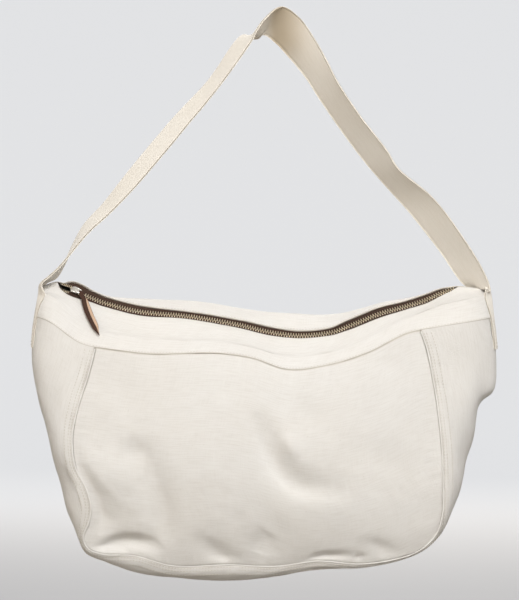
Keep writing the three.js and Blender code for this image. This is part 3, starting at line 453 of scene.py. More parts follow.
    def half_loop(self, ends: dict, middle: Loop, near: str) -> Loop:
        """Loop round one half of the bag, from its left end to its right end.

        Args:
            ends: Corner points by name.
            middle: The stretch between the two rounded ends.
            near: "front" or "back".

        Returns:
            A function from shares to points.
        """
        left, right = self.end_shares(ends, near)

        def turn_at(share: Grid) -> Grid:
            """Turn of the end section at a share of the way round it."""
            return 0.5 * share if near == "front" else 1 - 0.5 * share

        def loop(u: Grid) -> Grid:
            """Points of the loop."""
            u = np.asarray(u, float)
            first = self.end_section(ends["front_left"], ends["edge_left"], ends["back_left"],
                                     turn_at(1 - np.clip(u / left, 0, 1)))
            first = self.with_wave(first, ends[f"{near}_left"], ends["edge_left"], 1)
            last = self.end_section(ends["front_right"], ends["edge_right"], ends["back_right"],
                                    turn_at(np.clip((u - right) / (1 - right), 0, 1)))
            inner = middle(np.clip((u - left) / (right - left), 0, 1))
            mask = u[..., None]
            return np.where(mask < left, first, np.where(mask > right, last, inner))

        return loop

    def stretch(self, ends: dict, near: str, rows: Sequence, depth_of: Callable) -> Loop:
        """Middle stretch of a loop, with a table of falls between its two ends.

        Args:
            ends: Corner points by name.
            near: "front" or "back".
            rows: Places across and down, between the two ends.
            depth_of: Depth of a place across and down.

        Returns:
            A function from shares to points.
        """
        start, end = ends[f"{near}_left"], ends[f"{near}_right"]
        table = np.array([
            ((point[0] - self.body_offset) / self.body_width,
             (-self.strap_drop - point[2]) / self.body_height) for point in (start, end)])
        table = np.vstack([table[:1], np.array(rows, float), table[1:]])

        def points(share: Grid) -> Grid:
            """Points of the stretch."""
            across = lerp(table[0, 0], table[-1, 0], np.asarray(share, float))
            fall = along_table(table[:, 0], table[:, 1], across)
            return self.place(across, fall, depth_of(across, fall))

        return points

    def band(self, side: Side) -> Surface:
        """Yoke band of one side, from the yoke seam up."""
        low = self.front_yoke if side is Side.FRONT else self.back_yoke
        high = self.front_crease if side is Side.FRONT else self.back_crest
        return lambda u, v: lerp(low(u), high(u), np.asarray(v, float)[..., None])

    def zip_column(self, u: Grid, column: int) -> Grid:
        """A column of the zip's table at a share of the way along the ridge."""
        rows = np.array(self.zip_rows, float)
        return along_table(rows[:, 0], rows[:, column], self.zip_across(u))

    def zip_across(self, u: Grid) -> Grid:
        """Share across the body at a share of the way along the ridge."""
        return lerp(self.zip_rows[0][0], self.zip_rows[-1][0], np.asarray(u, float))

    def zip_share(self, across: float) -> float:
        """Share of the way along the ridge at a place across the body."""
        return (across - self.zip_rows[0][0]) / (self.zip_rows[-1][0] - self.zip_rows[0][0])

    def zip_point(self, u: Grid) -> Grid:
        """Middle line of the zip."""
        return self.place(self.zip_across(u), self.zip_column(u, 1),
                          -self.front_depth * self.zip_column(u, 2))

    def zip_opening(self, u: Grid) -> Grid:
        """Half of the opening between the facings."""
        return np.maximum(0, self.zip_column(u, 3)) * self.open_half

    def zip_frame(self, u: Grid) -> tuple[Grid, Grid, Grid, Grid]:
        """Middle of the zip and its directions along, down the front and out of the bag.

        Args:
            u: Shares of the way along the ridge.

        Returns:
            Points of the middle line and the three directions at each of them.
        """
        u = np.asarray(u, float)
        along = unit(self.zip_point(np.minimum(u + self.slope_step, 1))
                     - self.zip_point(np.maximum(u - self.slope_step, 0)))
        down = np.array([0, -1, -self.zip_slope])
        down = unit(down - along * dot(np.broadcast_to(down, along.shape), along))
        return self.zip_point(u), along, down, np.cross(down, along)

    def facing(self, side: Side) -> Surface:
        """Facing of one side, from its outer edge to the zip.

        It leaves the outer edge in the band's direction, but for a crease at both ends.

        Args:
            side: The side of the bag.

        Returns:
            The facing's surface.
        """
        edge = self.front_crease if side is Side.FRONT else self.back_crest
        base = self.front_yoke if side is Side.FRONT else self.back_yoke
        bend_reach = self.front_bend if side is Side.FRONT else self.back_bend

        def surface(u: Grid, v: Grid) -> Grid:
            """Points of the facing."""
            middle, _, down, _ = self.zip_frame(u)
            out = -side.value * down
            inner = middle + out * self.zip_opening(u)[..., None]
            outer = edge(u)
            reach = np.linalg.norm(outer - inner, axis=-1, keepdims=True)
            bend = inner + out * reach * bend_reach
            kinked = outer + (bend - outer) * self.kink_reach
            smooth = outer + unit(outer - base(u)) * reach * self.smooth_reach
            smoothed = smoothstep(np.minimum(u, 1 - u), self.smooth_from, self.smooth_to)
            first = lerp(kinked, smooth, smoothed[..., None])
            v = np.asarray(v, float)[..., None]
            return (outer * (1 - v) ** 3 + first * 3 * v * (1 - v) ** 2
                    + bend * 3 * v**2 * (1 - v) + inner * v**3)

        return surface

    def panel(self, side: Side) -> Surface:
        """Panel of one side: a patch between its four seams, pushed out to a belly.

        Args:
            side: The side of the bag.

        Returns:
            The panel's surface.
        """
        curve = self.seam_rail if side is Side.FRONT else self.back_rail
        top = self.front_yoke_middle if side is Side.FRONT else self.back_yoke_middle
        belly = -self.front_belly if side is Side.FRONT else self.back_belly
        left = curve.length_share(self.left_corner_row)
        right = curve.length_share(self.right_corner_row)

        def surface(u: Grid, v: Grid) -> Grid:
            """Points of the panel."""
            u, v = np.asarray(u, float), np.asarray(v, float)
            a, b = u[..., None], v[..., None]
            one = np.array(1.0)
            point = top(u) * (1 - b) + curve.at_length(lerp(left, right, u)) * b
            point = point + curve.at_length(left * v) * (1 - a)
            point = point + curve.at_length(lerp(1, right, v)) * a
            point = point - top(0 * one) * (1 - a) * (1 - b) - top(one) * a * (1 - b)
            point = point - curve.at_length(left * one) * (1 - a) * b
            point = point - curve.at_length(right * one) * a * b
            rise = (np.sin(math.pi * u) * np.sin(math.pi * v)).clip(0) ** self.belly_power
            point[..., 1] += belly * rise
            if side is Side.FRONT:
                point[..., 1] += self.folds(point, u, v)
            return point

        return surface

    def folds(self, point: Grid, u: Grid, v: Grid) -> Grid:
        """Depth of the front panel's folds, steep above and gentle below, fading at its seams.

        Args:
            point: Points of the unfolded panel.
            u: Their first shares.
            v: Their second shares.

        Returns:
            How far each point moves in.
        """
        depth = np.zeros(np.shape(u))
        flat = point[..., [0, 2]]
        stations = np.linspace(0, 1, self.fold_stations)
        for places, deep, above, below in self.fold_rows:
            line = Rail(self.place(*np.array(places).T, 0)).at_length(stations)[:, [0, 2]]
            way = unit(np.gradient(line, axis=0))
            reach = np.full(np.shape(u), np.inf)
            rise, taper = np.zeros(np.shape(u)), np.zeros(np.shape(u))
            for station, middle, ahead in zip(stations, line, way):
                here = flat - middle
                away = np.linalg.norm(here, axis=-1)
                nearer = away < reach
                reach = np.where(nearer, away, reach)
                side = ahead[0] * here[..., 1] - ahead[1] * here[..., 0]
                rise = np.where(nearer, side / np.maximum(away, TINY), rise)
                swell = math.sin(math.pi * lerp(self.fold_tip, 1 - self.fold_tip, station))
                taper = np.where(nearer, swell ** self.fold_taper, taper)
            width = lerp(below, above, smoothstep(rise, -self.fold_turn, self.fold_turn))
            depth += deep * taper * np.exp(-((reach / width) ** 2))
        for share in (u, v):
            depth = depth * smoothstep(np.minimum(share, 1 - share), 0, self.fold_margin)
        return depth


def spaced(length: float, step: float, fine: Sequence[float] = (0.35, 0.9, 1.7, 3.0)) -> Grid:
    """Shares along a side of a cloth piece, closer together at its two edges.

    Args:
        length: The side's length in millimetres.
        step: Usual distance between two shares.
        fine: Distances from the edge that get a share of their own.

    Returns:
        Rising shares from 0 to 1.
    """
    start = fine[-1] + step if fine else 0
    count = max(2, round((length - 2 * start) / step) + 1)
    middle = np.linspace(start, length - start, count)
    near = np.array([0, *fine]) if fine else np.array([])
    return np.concatenate([near, middle, length - near[::-1]]) / length


def lattice_noise(x: Grid, y: Grid, scale: float, seed: int) -> Grid:
    """Soft noise from -1 to 1 over a plane, from a seeded lattice.

    Args:
        x: First coordinate in millimetres.
        y: Second coordinate in millimetres.
        scale: Size of one bump in millimetres.
        seed: Which lattice is used.

    Returns:
        Noise at each place.
    """
    cells = 64
    lattice = np.random.default_rng(seed).uniform(-1, 1, (cells, cells))
    x, y = x / scale, y / scale
    i, j = np.floor(x).astype(int), np.floor(y).astype(int)
    fx, fy = smoothstep(x - i, 0, 1), smoothstep(y - j, 0, 1)
    value = [lattice[(i + a) % cells, (j + b) % cells] for a in (0, 1) for b in (0, 1)]
    return lerp(lerp(value[0], value[1], fy), lerp(value[2], value[3], fy), fx)


def make_object(name: str, points: Grid, faces: Grid, uv: Grid | None = None,
                marks: dict[str, Grid] | None = None) -> Piece:
    """Smooth mesh object from points in millimetres and faces of one size.

    Args:
        name: The object's name.
        points: One row for each vertex.
        faces: One row of vertex numbers for each face.
        uv: Cloth coordinates of each vertex in metres.
        marks: Named values of each vertex, such as how close it is to a seam.

    Returns:
        The new object, linked to the scene.
    """
    mesh = bpy.data.meshes.new(name)
    points, faces = np.asarray(points, np.float32), np.asarray(faces, np.int32)
    mesh.vertices.add(len(points))
    mesh.vertices.foreach_set("co", (points * MILLIMETRE).ravel())
    mesh.loops.add(faces.size)
    mesh.loops.foreach_set("vertex_index", faces.ravel())
    mesh.polygons.add(len(faces))
    mesh.polygons.foreach_set("loop_start", np.arange(len(faces)) * faces.shape[1])
    mesh.polygons.foreach_set("use_smooth", np.ones(len(faces), bool))
    if uv is not None:
        layer = mesh.uv_layers.new(name="cloth")
        layer.data.foreach_set("uv", np.asarray(uv, np.float32)[faces.ravel()].ravel())
    for key, values in (marks or {}).items():
        mark = mesh.attributes.new(key, "FLOAT", "POINT")
        mark.data.foreach_set("value", np.asarray(values, np.float32).ravel())
    mesh.update(calc_edges=True)
    mesh.validate()
    made = bpy.data.objects.new(name, mesh)
    bpy.context.scene.collection.objects.link(made)
    return made


def grid_faces(rows: int, columns: int, start: int = 0, flip: bool = False) -> Grid:
    """Quads of a grid of vertices that are numbered row by row, which flip turns over."""
    i, j = np.meshgrid(np.arange(rows - 1), np.arange(columns - 1), indexing="ij")
    a = start + i * columns + j
    quads = np.stack([a, a + columns, a + columns + 1, a + 1], axis=-1).reshape(-1, 4)
    return quads[:, ::-1] if flip else quads


def ring_faces(rings: int, sides: int) -> Grid:
    """Quads between rings of vertices that each close on themselves."""
    quads = grid_faces(rings, sides + 1)
    return (quads // (sides + 1)) * sides + quads % (sides + 1) % sides


def octagon_tube(rings: int, flip: bool = False) -> Grid:
    """Quads of a tube of eight-sided rings and of its two ends, which flip turns over."""
    cap = np.array([(0, 1, 2, 3), (0, 3, 4, 7), (7, 4, 5, 6)])
    ends = np.concatenate([cap[:, ::-1], cap + 8 * (rings - 1)])
    return np.concatenate([ring_faces(rings, 8), ends[:, ::-1] if flip else ends])


def swept_rings(path: Grid, beside: Grid, up: Grid, section: Grid, wide: Grid | float = 1.0,
                tall: Grid | float = 1.0) -> Grid:
    """Points of a section that is swept along a path.

    Args:
        path: Stations of the path.
        beside: Sideways direction at each station.
        up: Upward direction at each station.
        section: Closed outline of the section, sideways and up.
        wide: Size of the section sideways at each station.
        tall: Size of the section upward at each station.

    Returns:
        One row for each vertex, ring by ring.
    """
    wide, tall = (np.broadcast_to(size, len(path))[:, None, None] for size in (wide, tall))
    rings = (path[:, None] + beside[:, None] * (section[None, :, :1] * wide)
             + up[:, None] * section[None, :, 1:] * tall)
    return rings.reshape(-1, 3)


def rounded_section(width: float, height: float, power: float, count: int) -> Grid:
    """Outline of a rounded rectangle."""
    across, up = superellipse(full_turn(count), power)
    return np.stack([across * width / 2, up * height / 2], axis=-1)


def surface_normal(surface: Surface, u: Grid, v: Grid, step_u: float = SLOPE_STEP,
                   step_v: float = SLOPE_STEP) -> Grid:
    """Direction that stands square on a surface.

    Args:
        surface: The surface.
        u: First shares of the places.
        v: Second shares of the places.
        step_u: How far apart the first shares lie at which the slope is read.
        step_v: The same for the second shares.

    Returns:
        Unit vectors.
    """
    low_u, high_u = np.clip(u - step_u, 0, 1), np.clip(u + step_u, 0, 1)
    low_v, high_v = np.clip(v - step_v, 0, 1), np.clip(v + step_v, 0, 1)
    return unit(np.cross(surface(high_u, v) - surface(low_u, v),
                         surface(u, high_v) - surface(u, low_v)))


@dataclass
class ClothPiece:
    """A cut of cloth with thickness, rolled at its edges and a little uneven."""

    name: str
    surface: Surface
    outward: int
    shares_u: Grid
    shares_v: Grid
    thickness: float = 1.6
    # Depth of the rolled edge, and how far in it starts
    roll: tuple[float, float] = (1.2, 1.15)
    rolled: tuple[str, ...] = ("left", "right", "low", "high")
    unevenness: float = 0.35
    seed: int = 1
    pucker: float = 0.0
    pucker_reach: float = 13.0
    pucker_length: float = 6.5
    pucker_start: float = 2.5
    # Columns: size of the bumps, share of the unevenness
    bump_rows: tuple = ((34, 1.0), (15, 0.5), (6, 0.22))
    # How dark a seam's mark is at the edge, and how far it reaches, as a share of the roll; the
    # mark is painted shade in the seam's groove with a little dirt
    mark_depth: float = 1.5
    mark_reach: float = 0.7
    relief: Relief | None = None
    # Painted shade on the inner face, such as where a strap bends over
    inner_painted_shade: Relief | None = None

    def grids(self) -> tuple[Grid, Grid]:
        """Share grids along and across the piece."""
        return np.meshgrid(self.shares_u, self.shares_v, indexing="ij")

    def normals(self, points: Grid) -> Grid:
        """Outward normals of a grid of points."""
        slope_u = np.gradient(points, self.shares_u, axis=0)
        slope_v = np.gradient(points, self.shares_v, axis=1)
        return unit(np.cross(slope_u, slope_v)) * self.outward

    def edge_lift(self, along: Grid, across: Grid) -> tuple[Grid, Grid]:
        """Rolled and puckered edges of the piece.

        Args:
            along: Length along the cloth at each point.
            across: Length across it at each point.

        Returns:
            How far each point moves out, and the seam mark of painted shade, with a little dirt,
            from 0 to 1.
        """
        away = {"left": along, "right": along[-1:] - along,
                "low": across, "high": across[:, -1:] - across}
        roll_depth, roll_width = self.roll
        lift, roll, seam = np.zeros((3, *along.shape))
        for key in self.rolled:
            near = np.clip(1 - away[key] / roll_width, 0, 1)
            roll = np.maximum(roll, near**2)
            mark = self.mark_depth - away[key] / (self.mark_reach * roll_width)
            seam = np.maximum(seam, np.clip(mark, 0, 1))
            if self.pucker:
                run = across if key in ("left", "right") else along
                wave = lattice_noise(run, 0 * run, self.pucker_length, self.seed + 7)
                lift = lift + self.pucker * wave * np.exp(-away[key] / self.pucker_reach) * (
                    1 - np.exp(-away[key] / self.pucker_start))
        return lift - roll_depth * roll, seam

    def build(self) -> Piece:
        """Make the piece's mesh: outer face, inner face and rim."""
        u, v = self.grids()
        outer = self.surface(u, v)
        normals = self.normals(outer)
        along, across = run_along(outer, 0), run_along(outer, 1)
        lift, seam = self.edge_lift(along, across)
        for number, (scale, share) in enumerate(self.bump_rows):
            lift = lift + self.unevenness * share * lattice_noise(
                along, across, scale, self.seed + number)
        if self.relief is not None:
            lift = lift + self.relief(v, outer)
        outer = outer + normals * lift[..., None]
        rows, columns = outer.shape[:2]
        count = rows * columns
        points = np.stack([outer, outer - normals * self.thickness]).reshape(-1, 3)
        number = np.arange(count).reshape(rows, columns)
        flip = self.outward < 0
        faces = [grid_faces(rows, columns, 0, flip), grid_faces(rows, columns, count, not flip)]
        for line in (number[:, 0][::-1], number[:, -1], number[0], number[-1][::-1]):
            rim = np.stack([line[:-1], line[1:], line[1:] + count, line[:-1] + count], axis=-1)
            faces.append(rim if flip else rim[:, ::-1])
        uv = np.stack([along, across], axis=-1).reshape(-1, 2) * MILLIMETRE
        # The seam attribute holds the seams' painted shade with a little dirt, and on the inner
        # face also the inner painted shade
        shade = seam
        if self.inner_painted_shade is not None:
            shade = np.maximum(seam, self.inner_painted_shade(v, outer))
        return make_object(self.name, points, np.concatenate(faces), np.concatenate([uv, uv]),
                           {"seam": np.concatenate([seam.ravel(), shade.ravel()])})


@dataclass
class ThreadRow:
    """A row of stitches that lies on a cloth surface."""

    points: Grid
    normals: Grid
    pitch: float = 3.6
    stitch: float = 2.6
    width: float = 0.95
    height: float = 0.45
    slope_reach: float = 0.6
    sides: int = 6
    # Columns: run along the stitch, share of its size, rise off the cloth
    profile: tuple = ((-0.5, 0.15, -0.8), (-0.36, 0.85, 0.1), (0.0, 1.0, 0.35),
                      (0.36, 0.85, 0.1), (0.5, 0.15, -0.8))

    def stations(self) -> tuple[Grid, Grid, Grid]:
        """Middle, direction and normal of each stitch."""
        run = run_along(self.points)
        count = max(1, int(run[-1] / self.pitch))
        at = (np.arange(count) + 0.5) * run[-1] / count

        def read(values: Grid, place: Grid) -> Grid:
            """Values of the row at lengths along it."""
            return np.stack([np.interp(place, run, values[:, k]) for k in range(3)], axis=1)

        ahead = read(self.points, at + self.slope_reach)
        behind = read(self.points, at - self.slope_reach)
        return read(self.points, at), unit(ahead - behind), unit(read(self.normals, at))

    def beads(self) -> Grid:
        """Short flat beads with sunk ends: for each stitch, its points ring by ring."""
        middle, ahead, up = self.stations()
        beside = unit(np.cross(ahead, up))
        return np.stack([
            middle + ahead * run * self.stitch
            + beside * math.cos(angle) * size * self.width / 2
            + up * (math.sin(angle) * size + rise) * self.height
            for run, size, rise in self.profile for angle in full_turn(self.sides)], axis=1)


def stitched(name: str, rows: Sequence[ThreadRow]) -> Piece:
    """One mesh of all the stitches of some rows.

    Args:
        name: The object's name.
        rows: The rows of stitches.

    Returns:
        The new object.
    """
    beads = np.concatenate([row.beads() for row in rows])
    quads = ring_faces(len(ThreadRow.profile), ThreadRow.sides)[:, ::-1]
    faces = quads[None] + np.arange(len(beads))[:, None, None] * beads.shape[1]
    return make_object(name, beads.reshape(-1, 3), faces.reshape(-1, 4))


def row_on(surface: Surface, u: Grid, v: Grid, outward: int, lift: float,
           **sizes: float) -> ThreadRow:
    """Row of stitches along a line of a surface.

    Args:
        surface: The cloth surface.
        u: First shares of the line.
        v: Second shares of the line.
        outward: Sign that makes the surface's normal point out.
        lift: How far the row's line stands off the surface.
        sizes: Sizes passed on to the row.

    Returns:
        The row.
    """
    u, v = np.broadcast_arrays(np.asarray(u, float), np.asarray(v, float))
    normal = outward * surface_normal(surface, u, v)
    return ThreadRow(surface(u, v) + normal * lift, normal, **sizes)


def share_at_distance(surface: Surface, u: Grid, distance: float, from_high: bool = False,
                      reach: float = 0.5) -> Grid:
    """Second share that lies a distance in from an edge of a surface.

    Args:
        surface: The cloth surface.
        u: First shares of the edge.
        distance: Distance from the edge in millimetres.
        from_high: Whether the edge is the one at share 1.
        reach: Share within which the place is looked for.

    Returns:
        Second shares, one for each first share.
    """
    shares = np.linspace(0, reach, 80)
    line = 1 - shares if from_high else shares
    run = run_along(surface(*np.meshgrid(u, line, indexing="ij")), 1)
    return np.array([np.interp(distance, row, line) for row in run])


class NodeBench:
    """Short hand for the nodes of one material or group."""

    def __init__(self, tree: Tree) -> None:
        """Keep the tree."""
        self.tree = tree

    def add(self, kind: str, inputs: dict | None = None, **settings: object) -> Node:
        """Add a node, set its properties and feed its inputs.

        Args:
            kind: The node's type name.
            inputs: Values or sockets by input name or number.
            settings: Properties of the node.

        Returns:
            The new node.
        """
        node = self.tree.nodes.new(kind)
        for key, value in settings.items():
            setattr(node, key, value)
        self.feed(node, inputs or {})
        return node

    def feed(self, node: Node, inputs: dict) -> None:
        """Give a node's inputs their values, or link them to the sockets given for them.

        Args:
            node: The node.
            inputs: Values or sockets by input name or number.
        """
        for key, value in inputs.items():
            if isinstance(value, Socket):
                self.tree.links.new(value, node.inputs[key])
            else:
                node.inputs[key].default_value = value

    def math(self, operation: str, *values: object) -> Socket:
        """Result of a math node."""
        return self.add("ShaderNodeMath", dict(enumerate(values)), operation=operation).outputs[0]

    def times(self, first: object, second: object) -> Socket:
        """Product of two values."""
        return self.math("MULTIPLY", first, second)

    def ramp(self, value: Socket, low: float, high: float) -> Socket:
        """Value spread from low and high to 0 and 1."""
        return self.add("ShaderNodeMapRange", {"Value": value, "From Min": low, "From Max": high},
                        interpolation_type="SMOOTHSTEP").outputs["Result"]

    def blend(self, mask: object, first: object, second: object) -> Socket:
        """Two colours mixed by a mask."""
        return self.add("ShaderNodeMix", {0: mask, 6: first, 7: second},
                        data_type="RGBA").outputs[2]

    def noise(self, vector: Socket, scale: object, detail: float = 3,
              rough: float = 0.55) -> Socket:
        """Value of a noise texture."""
        return self.add("ShaderNodeTexNoise", {
            "Vector": vector, "Scale": scale, "Detail": detail, "Roughness": rough}).outputs["Fac"]

    def place(self) -> Socket:
        """Object coordinates."""
        return self.add("ShaderNodeTexCoord").outputs["Object"]

    def group(self, tree: Tree, **inputs: object) -> Sockets:
        """Outputs of a shared effect, placed with its own values."""
        return self.add("ShaderNodeGroup", inputs, node_tree=tree).outputs

    def bump(self, height: Socket, distance: float,
             strength: float = 1.0) -> Socket:
        """Normal of a relief that is a given number of metres high."""
        return self.add("ShaderNodeBump", {"Height": height, "Distance": distance,
                                           "Strength": strength}).outputs["Normal"]


def new_group(name: str, inputs: dict[str, float], outputs: Sequence[str]
              ) -> tuple[NodeBench, dict, Node]:
    """Empty shader group with named sockets.

    Args:
        name: The group's name.
        inputs: Default of each input; Vector stands for a vector input.
        outputs: Name of each output.

    Returns:
        The group's bench, its input sockets and its output node.
    """
    tree = bpy.data.node_groups.new(name, "ShaderNodeTree")
    for key, value in inputs.items():
        kind = "NodeSocketVector" if key == "Vector" else "NodeSocketFloat"
        socket = tree.interface.new_socket(key, in_out="INPUT", socket_type=kind)
        if kind == "NodeSocketFloat":
            socket.default_value = value
    for key in outputs:
        tree.interface.new_socket(key, in_out="OUTPUT", socket_type="NodeSocketFloat")
    bench = NodeBench(tree)
    return bench, bench.add("NodeGroupInput").outputs, bench.add("NodeGroupOutput")


def weave_group() -> Tree:
    """Woven cloth: height of the threads, the gaps between them and the thicker threads."""
    bench, given, result = new_group(
        "woven_threads", {"Vector": 0, "Threads": 1200, "Twill": 0.0, "Slub": 0.4},
        ("Height", "Gaps", "Slubs"))
    along, across = 45, 800
    slub_runs = [bench.noise(bench.add("ShaderNodeMapping", {
        "Vector": given["Vector"], "Scale": scale}).outputs[0], 1, 2)
        for scale in ((along, across, 1), (across, along, 1))]
    slubs = bench.math("ADD", slub_runs[0], bench.times(slub_runs[1], 0.45))
    axes = bench.add("ShaderNodeSeparateXYZ", {"Vector": given["Vector"]}).outputs
    turns = bench.times(given["Threads"], 2 * math.pi)
    waves = [bench.math("SINE", bench.times(axes[axis], turns)) for axis in ("X", "Y")]
    slant = bench.math("ADD", axes["X"], axes["Y"])
    twill = bench.math("SINE", bench.times(slant, bench.times(turns, 0.5)))
    height = bench.add("ShaderNodeMix", {
        0: given["Twill"], 2: bench.times(*waves), 3: twill}, data_type="FLOAT").outputs[0]
    bench.feed(result, {
        "Height": bench.math("ADD", height, bench.times(slubs, given["Slub"])),
        "Slubs": bench.ramp(slubs, 0.58, 0.95),
        "Gaps": bench.ramp(bench.times(height, -1.0), 0.1, 1.0)})
    return bench.tree


def mottle_group() -> Tree:
    """Uneven tone over a surface: broad clouds, fine grain and a few flecks."""
    bench, given, result = new_group(
        "uneven_tone", {"Vector": 0, "Clouds": 9, "Grain": 300, "Flecks": 0.76},
        ("Broad", "Fine", "Fleck"))
    vector = given["Vector"]
    specks = bench.noise(vector, 420, 1, 0.4)
    bench.feed(result, {
        "Broad": bench.ramp(bench.noise(vector, given["Clouds"], 4, 0.6), 0.35, 0.65),
        "Fine": bench.ramp(bench.noise(vector, given["Grain"], 4, 0.6), 0.3, 0.7),
        "Fleck": bench.math("GREATER_THAN", specks, given["Flecks"])})
    return bench.tree


def wear_group() -> Tree:
    """Wear of metal and leather: a mask of raised edges, broken up by noise."""
    bench, given, result = new_group(
        "edge_wear", {"Vector": 0, "Scale": 900}, ("Edge", "Scuffs"))
    raised = bench.ramp(bench.add("ShaderNodeNewGeometry").outputs["Pointiness"], 0.49, 0.56)
    noise = bench.noise(given["Vector"], given["Scale"], 4, 0.5)
    bench.feed(result, {"Edge": bench.times(raised, bench.ramp(noise, 0.3, 0.6)),
                        "Scuffs": bench.ramp(noise, 0.4, 0.75)})
    return bench.tree


class Effects:
    """The shader groups that several finishes share."""

    def __init__(self) -> None:
        """Build each group once."""
        self.weave = weave_group()
        self.mottle = mottle_group()
        self.wear = wear_group()


def new_material(name: str, **plain: object) -> tuple[Material, NodeBench, Node]:
    """Material with a bench and its Principled shader, on which plain values are set.

    Args:
        name: The material's name.
        plain: Values of the shader's sockets, spaces written as underscores.

    Returns:
        The material, its bench and its shader node.
    """
    material = bpy.data.materials.new(name)
    material.use_nodes = True
    shader = material.node_tree.nodes["Principled BSDF"]
    for key, value in plain.items():
        shader.inputs[key.replace("_", " ")].default_value = value
    return material, NodeBench(material.node_tree), shader


@dataclass(frozen=True)
class ClothFinish:
    """Undyed woven cotton: canvas, webbing or the zip's dyed tape."""

    name: str
    colour: Colour
    shade: Colour
    fleck: Colour
    threads: float
    twill: float
    slub: float = 0.4
    relief: float = 0.00022
    relief_strength: float = 0.8
    roughness: float = 0.86
    grain_roughness: float = 0.08
    grain_relief: float = 0.5
    sheen: float = 0.25
    # How far the low gaps between the threads are darkened: painted shade
    gap_shade: float = 0.1
    slub_shade: float = 0.12
    cloud_shade: float = 0.35
    fleck_shade: float = 0.16
    # How far the seam attribute darkens the cloth: painted shade in the seams' grooves with a
    # little dirt, and on the webbing also the crest's painted shade
    seam_dirt_and_shade: float = 0.85

    def material(self, effects: Effects) -> Material:
        """Build the cloth's material.

        Args:
            effects: The shared shader groups.

        Returns:
            The material.
        """
        made, bench, shader = new_material(
            self.name, Sheen_Weight=self.sheen, Sheen_Roughness=0.5, Specular_IOR_Level=0.2)
        cloth = bench.add("ShaderNodeUVMap", uv_map="cloth").outputs["UV"]
        weave = bench.group(effects.weave, Vector=cloth, Threads=self.threads, Twill=self.twill,
                            Slub=self.slub)
        mottle = bench.group(effects.mottle, Vector=bench.place())
        # Darker at the seams: painted shade in their grooves with a little dirt; on the strap's
        # inner face also the crest's painted shade
        seam = bench.add("ShaderNodeAttribute", attribute_name="seam").outputs["Fac"]
        tone = bench.blend(bench.times(mottle["Broad"], self.cloud_shade), self.colour, self.shade)
        for mask, share in ((weave["Gaps"], self.gap_shade), (weave["Slubs"], self.slub_shade),
                            (mottle["Fleck"], self.fleck_shade), (seam, self.seam_dirt_and_shade)):
            tone = bench.blend(bench.times(mask, share), tone, self.fleck)
        rough = bench.math("ADD", bench.times(mottle["Fine"], self.grain_roughness),
                           self.roughness)
        height = bench.math("ADD", weave["Height"], bench.times(mottle["Fine"],
                                                                self.grain_relief))
        bench.feed(shader, {"Base Color": tone, "Roughness": rough,
                            "Normal": bench.bump(height, self.relief, self.relief_strength)})
        return made


@dataclass(frozen=True)
class MetalFinish:
    """Plated metal with brighter edges and scuffed patches of dull tarnish."""

    name: str
    colour: Colour
    worn: Colour
    tarnish: Colour
    roughness: float
    tarnish_shade: float = 0.5
    scuff_roughness: float = 0.18
    grain: float = 1800
    relief: float = 0.00004

    def material(self, effects: Effects) -> Material:
        """Build the metal's material.

        Args:
            effects: The shared shader groups.

        Returns:
            The material.
        """
        made, bench, shader = new_material(self.name, Metallic=1.0)
        place = bench.place()
        wear = bench.group(effects.wear, Vector=place)
        tone = bench.blend(bench.times(wear["Scuffs"], self.tarnish_shade),
                           self.colour, self.tarnish)
        rough = bench.times(wear["Scuffs"], self.scuff_roughness)
        bench.feed(shader, {
            "Base Color": bench.blend(wear["Edge"], tone, self.worn),
            "Roughness": bench.math("ADD", rough, self.roughness),
            "Normal": bench.bump(bench.noise(place, self.grain), self.relief, 0.5)})
        return made


@dataclass(frozen=True)
class LeatherFinish:
    """Leather with pores; the grain side is dyed and the flesh side is fibrous."""

    name: str
    colour: Colour
    worn: Colour
    roughness: float
    pores: float
    grain_shade: float = 0.3
    grain_roughness: float = 0.15
    relief: float = 0.00015

    def material(self, effects: Effects) -> Material:
        """Build the leather's material.

        Args:
            effects: The shared shader groups.

        Returns:
            The material.
        """
        made, bench, shader = new_material(self.name, Specular_IOR_Level=0.22)
        place = bench.place()
        grain = bench.group(effects.mottle, Vector=place)["Fine"]
        mask = bench.math("MAXIMUM", bench.group(effects.wear, Vector=place)["Edge"],
                          bench.times(grain, self.grain_shade))
        pores = bench.add("ShaderNodeTexVoronoi", {"Vector": place, "Scale": self.pores})
        rough = bench.times(grain, self.grain_roughness)
        bench.feed(shader, {
            "Base Color": bench.blend(mask, self.colour, self.worn),
            "Roughness": bench.math("ADD", rough, self.roughness),
            "Normal": bench.bump(pores.outputs["Distance"], self.relief, 0.6)})
        return made


@dataclass(frozen=True)
class ThreadFinish:
    """Cotton sewing thread, twisted."""

    name: str
    colour: Colour
    shade: Colour
    roughness: float = 0.7
    cloud_roughness: float = 0.1
    twist: float = 900
    relief: float = 0.00008

    def material(self, effects: Effects) -> Material:
        """Build the thread's material.

        Args:
            effects: The shared shader groups.

        Returns:
            The material.
        """
        made, bench, shader = new_material(self.name, Sheen_Weight=0.3, Specular_IOR_Level=0.3)
        place = bench.place()
        mottle = bench.group(effects.mottle, Vector=place)
        rough = bench.times(mottle["Broad"], self.cloud_roughness)
        twist = bench.add("ShaderNodeTexWave", {
            "Vector": place, "Scale": self.twist, "Distortion": 1.0}, bands_direction="DIAGONAL")
        bench.feed(shader, {
            "Base Color": bench.blend(mottle["Fine"], self.colour, self.shade),
            "Roughness": bench.math("ADD", rough, self.roughness),
            "Normal": bench.bump(twist.outputs["Fac"], self.relief)})
        return made


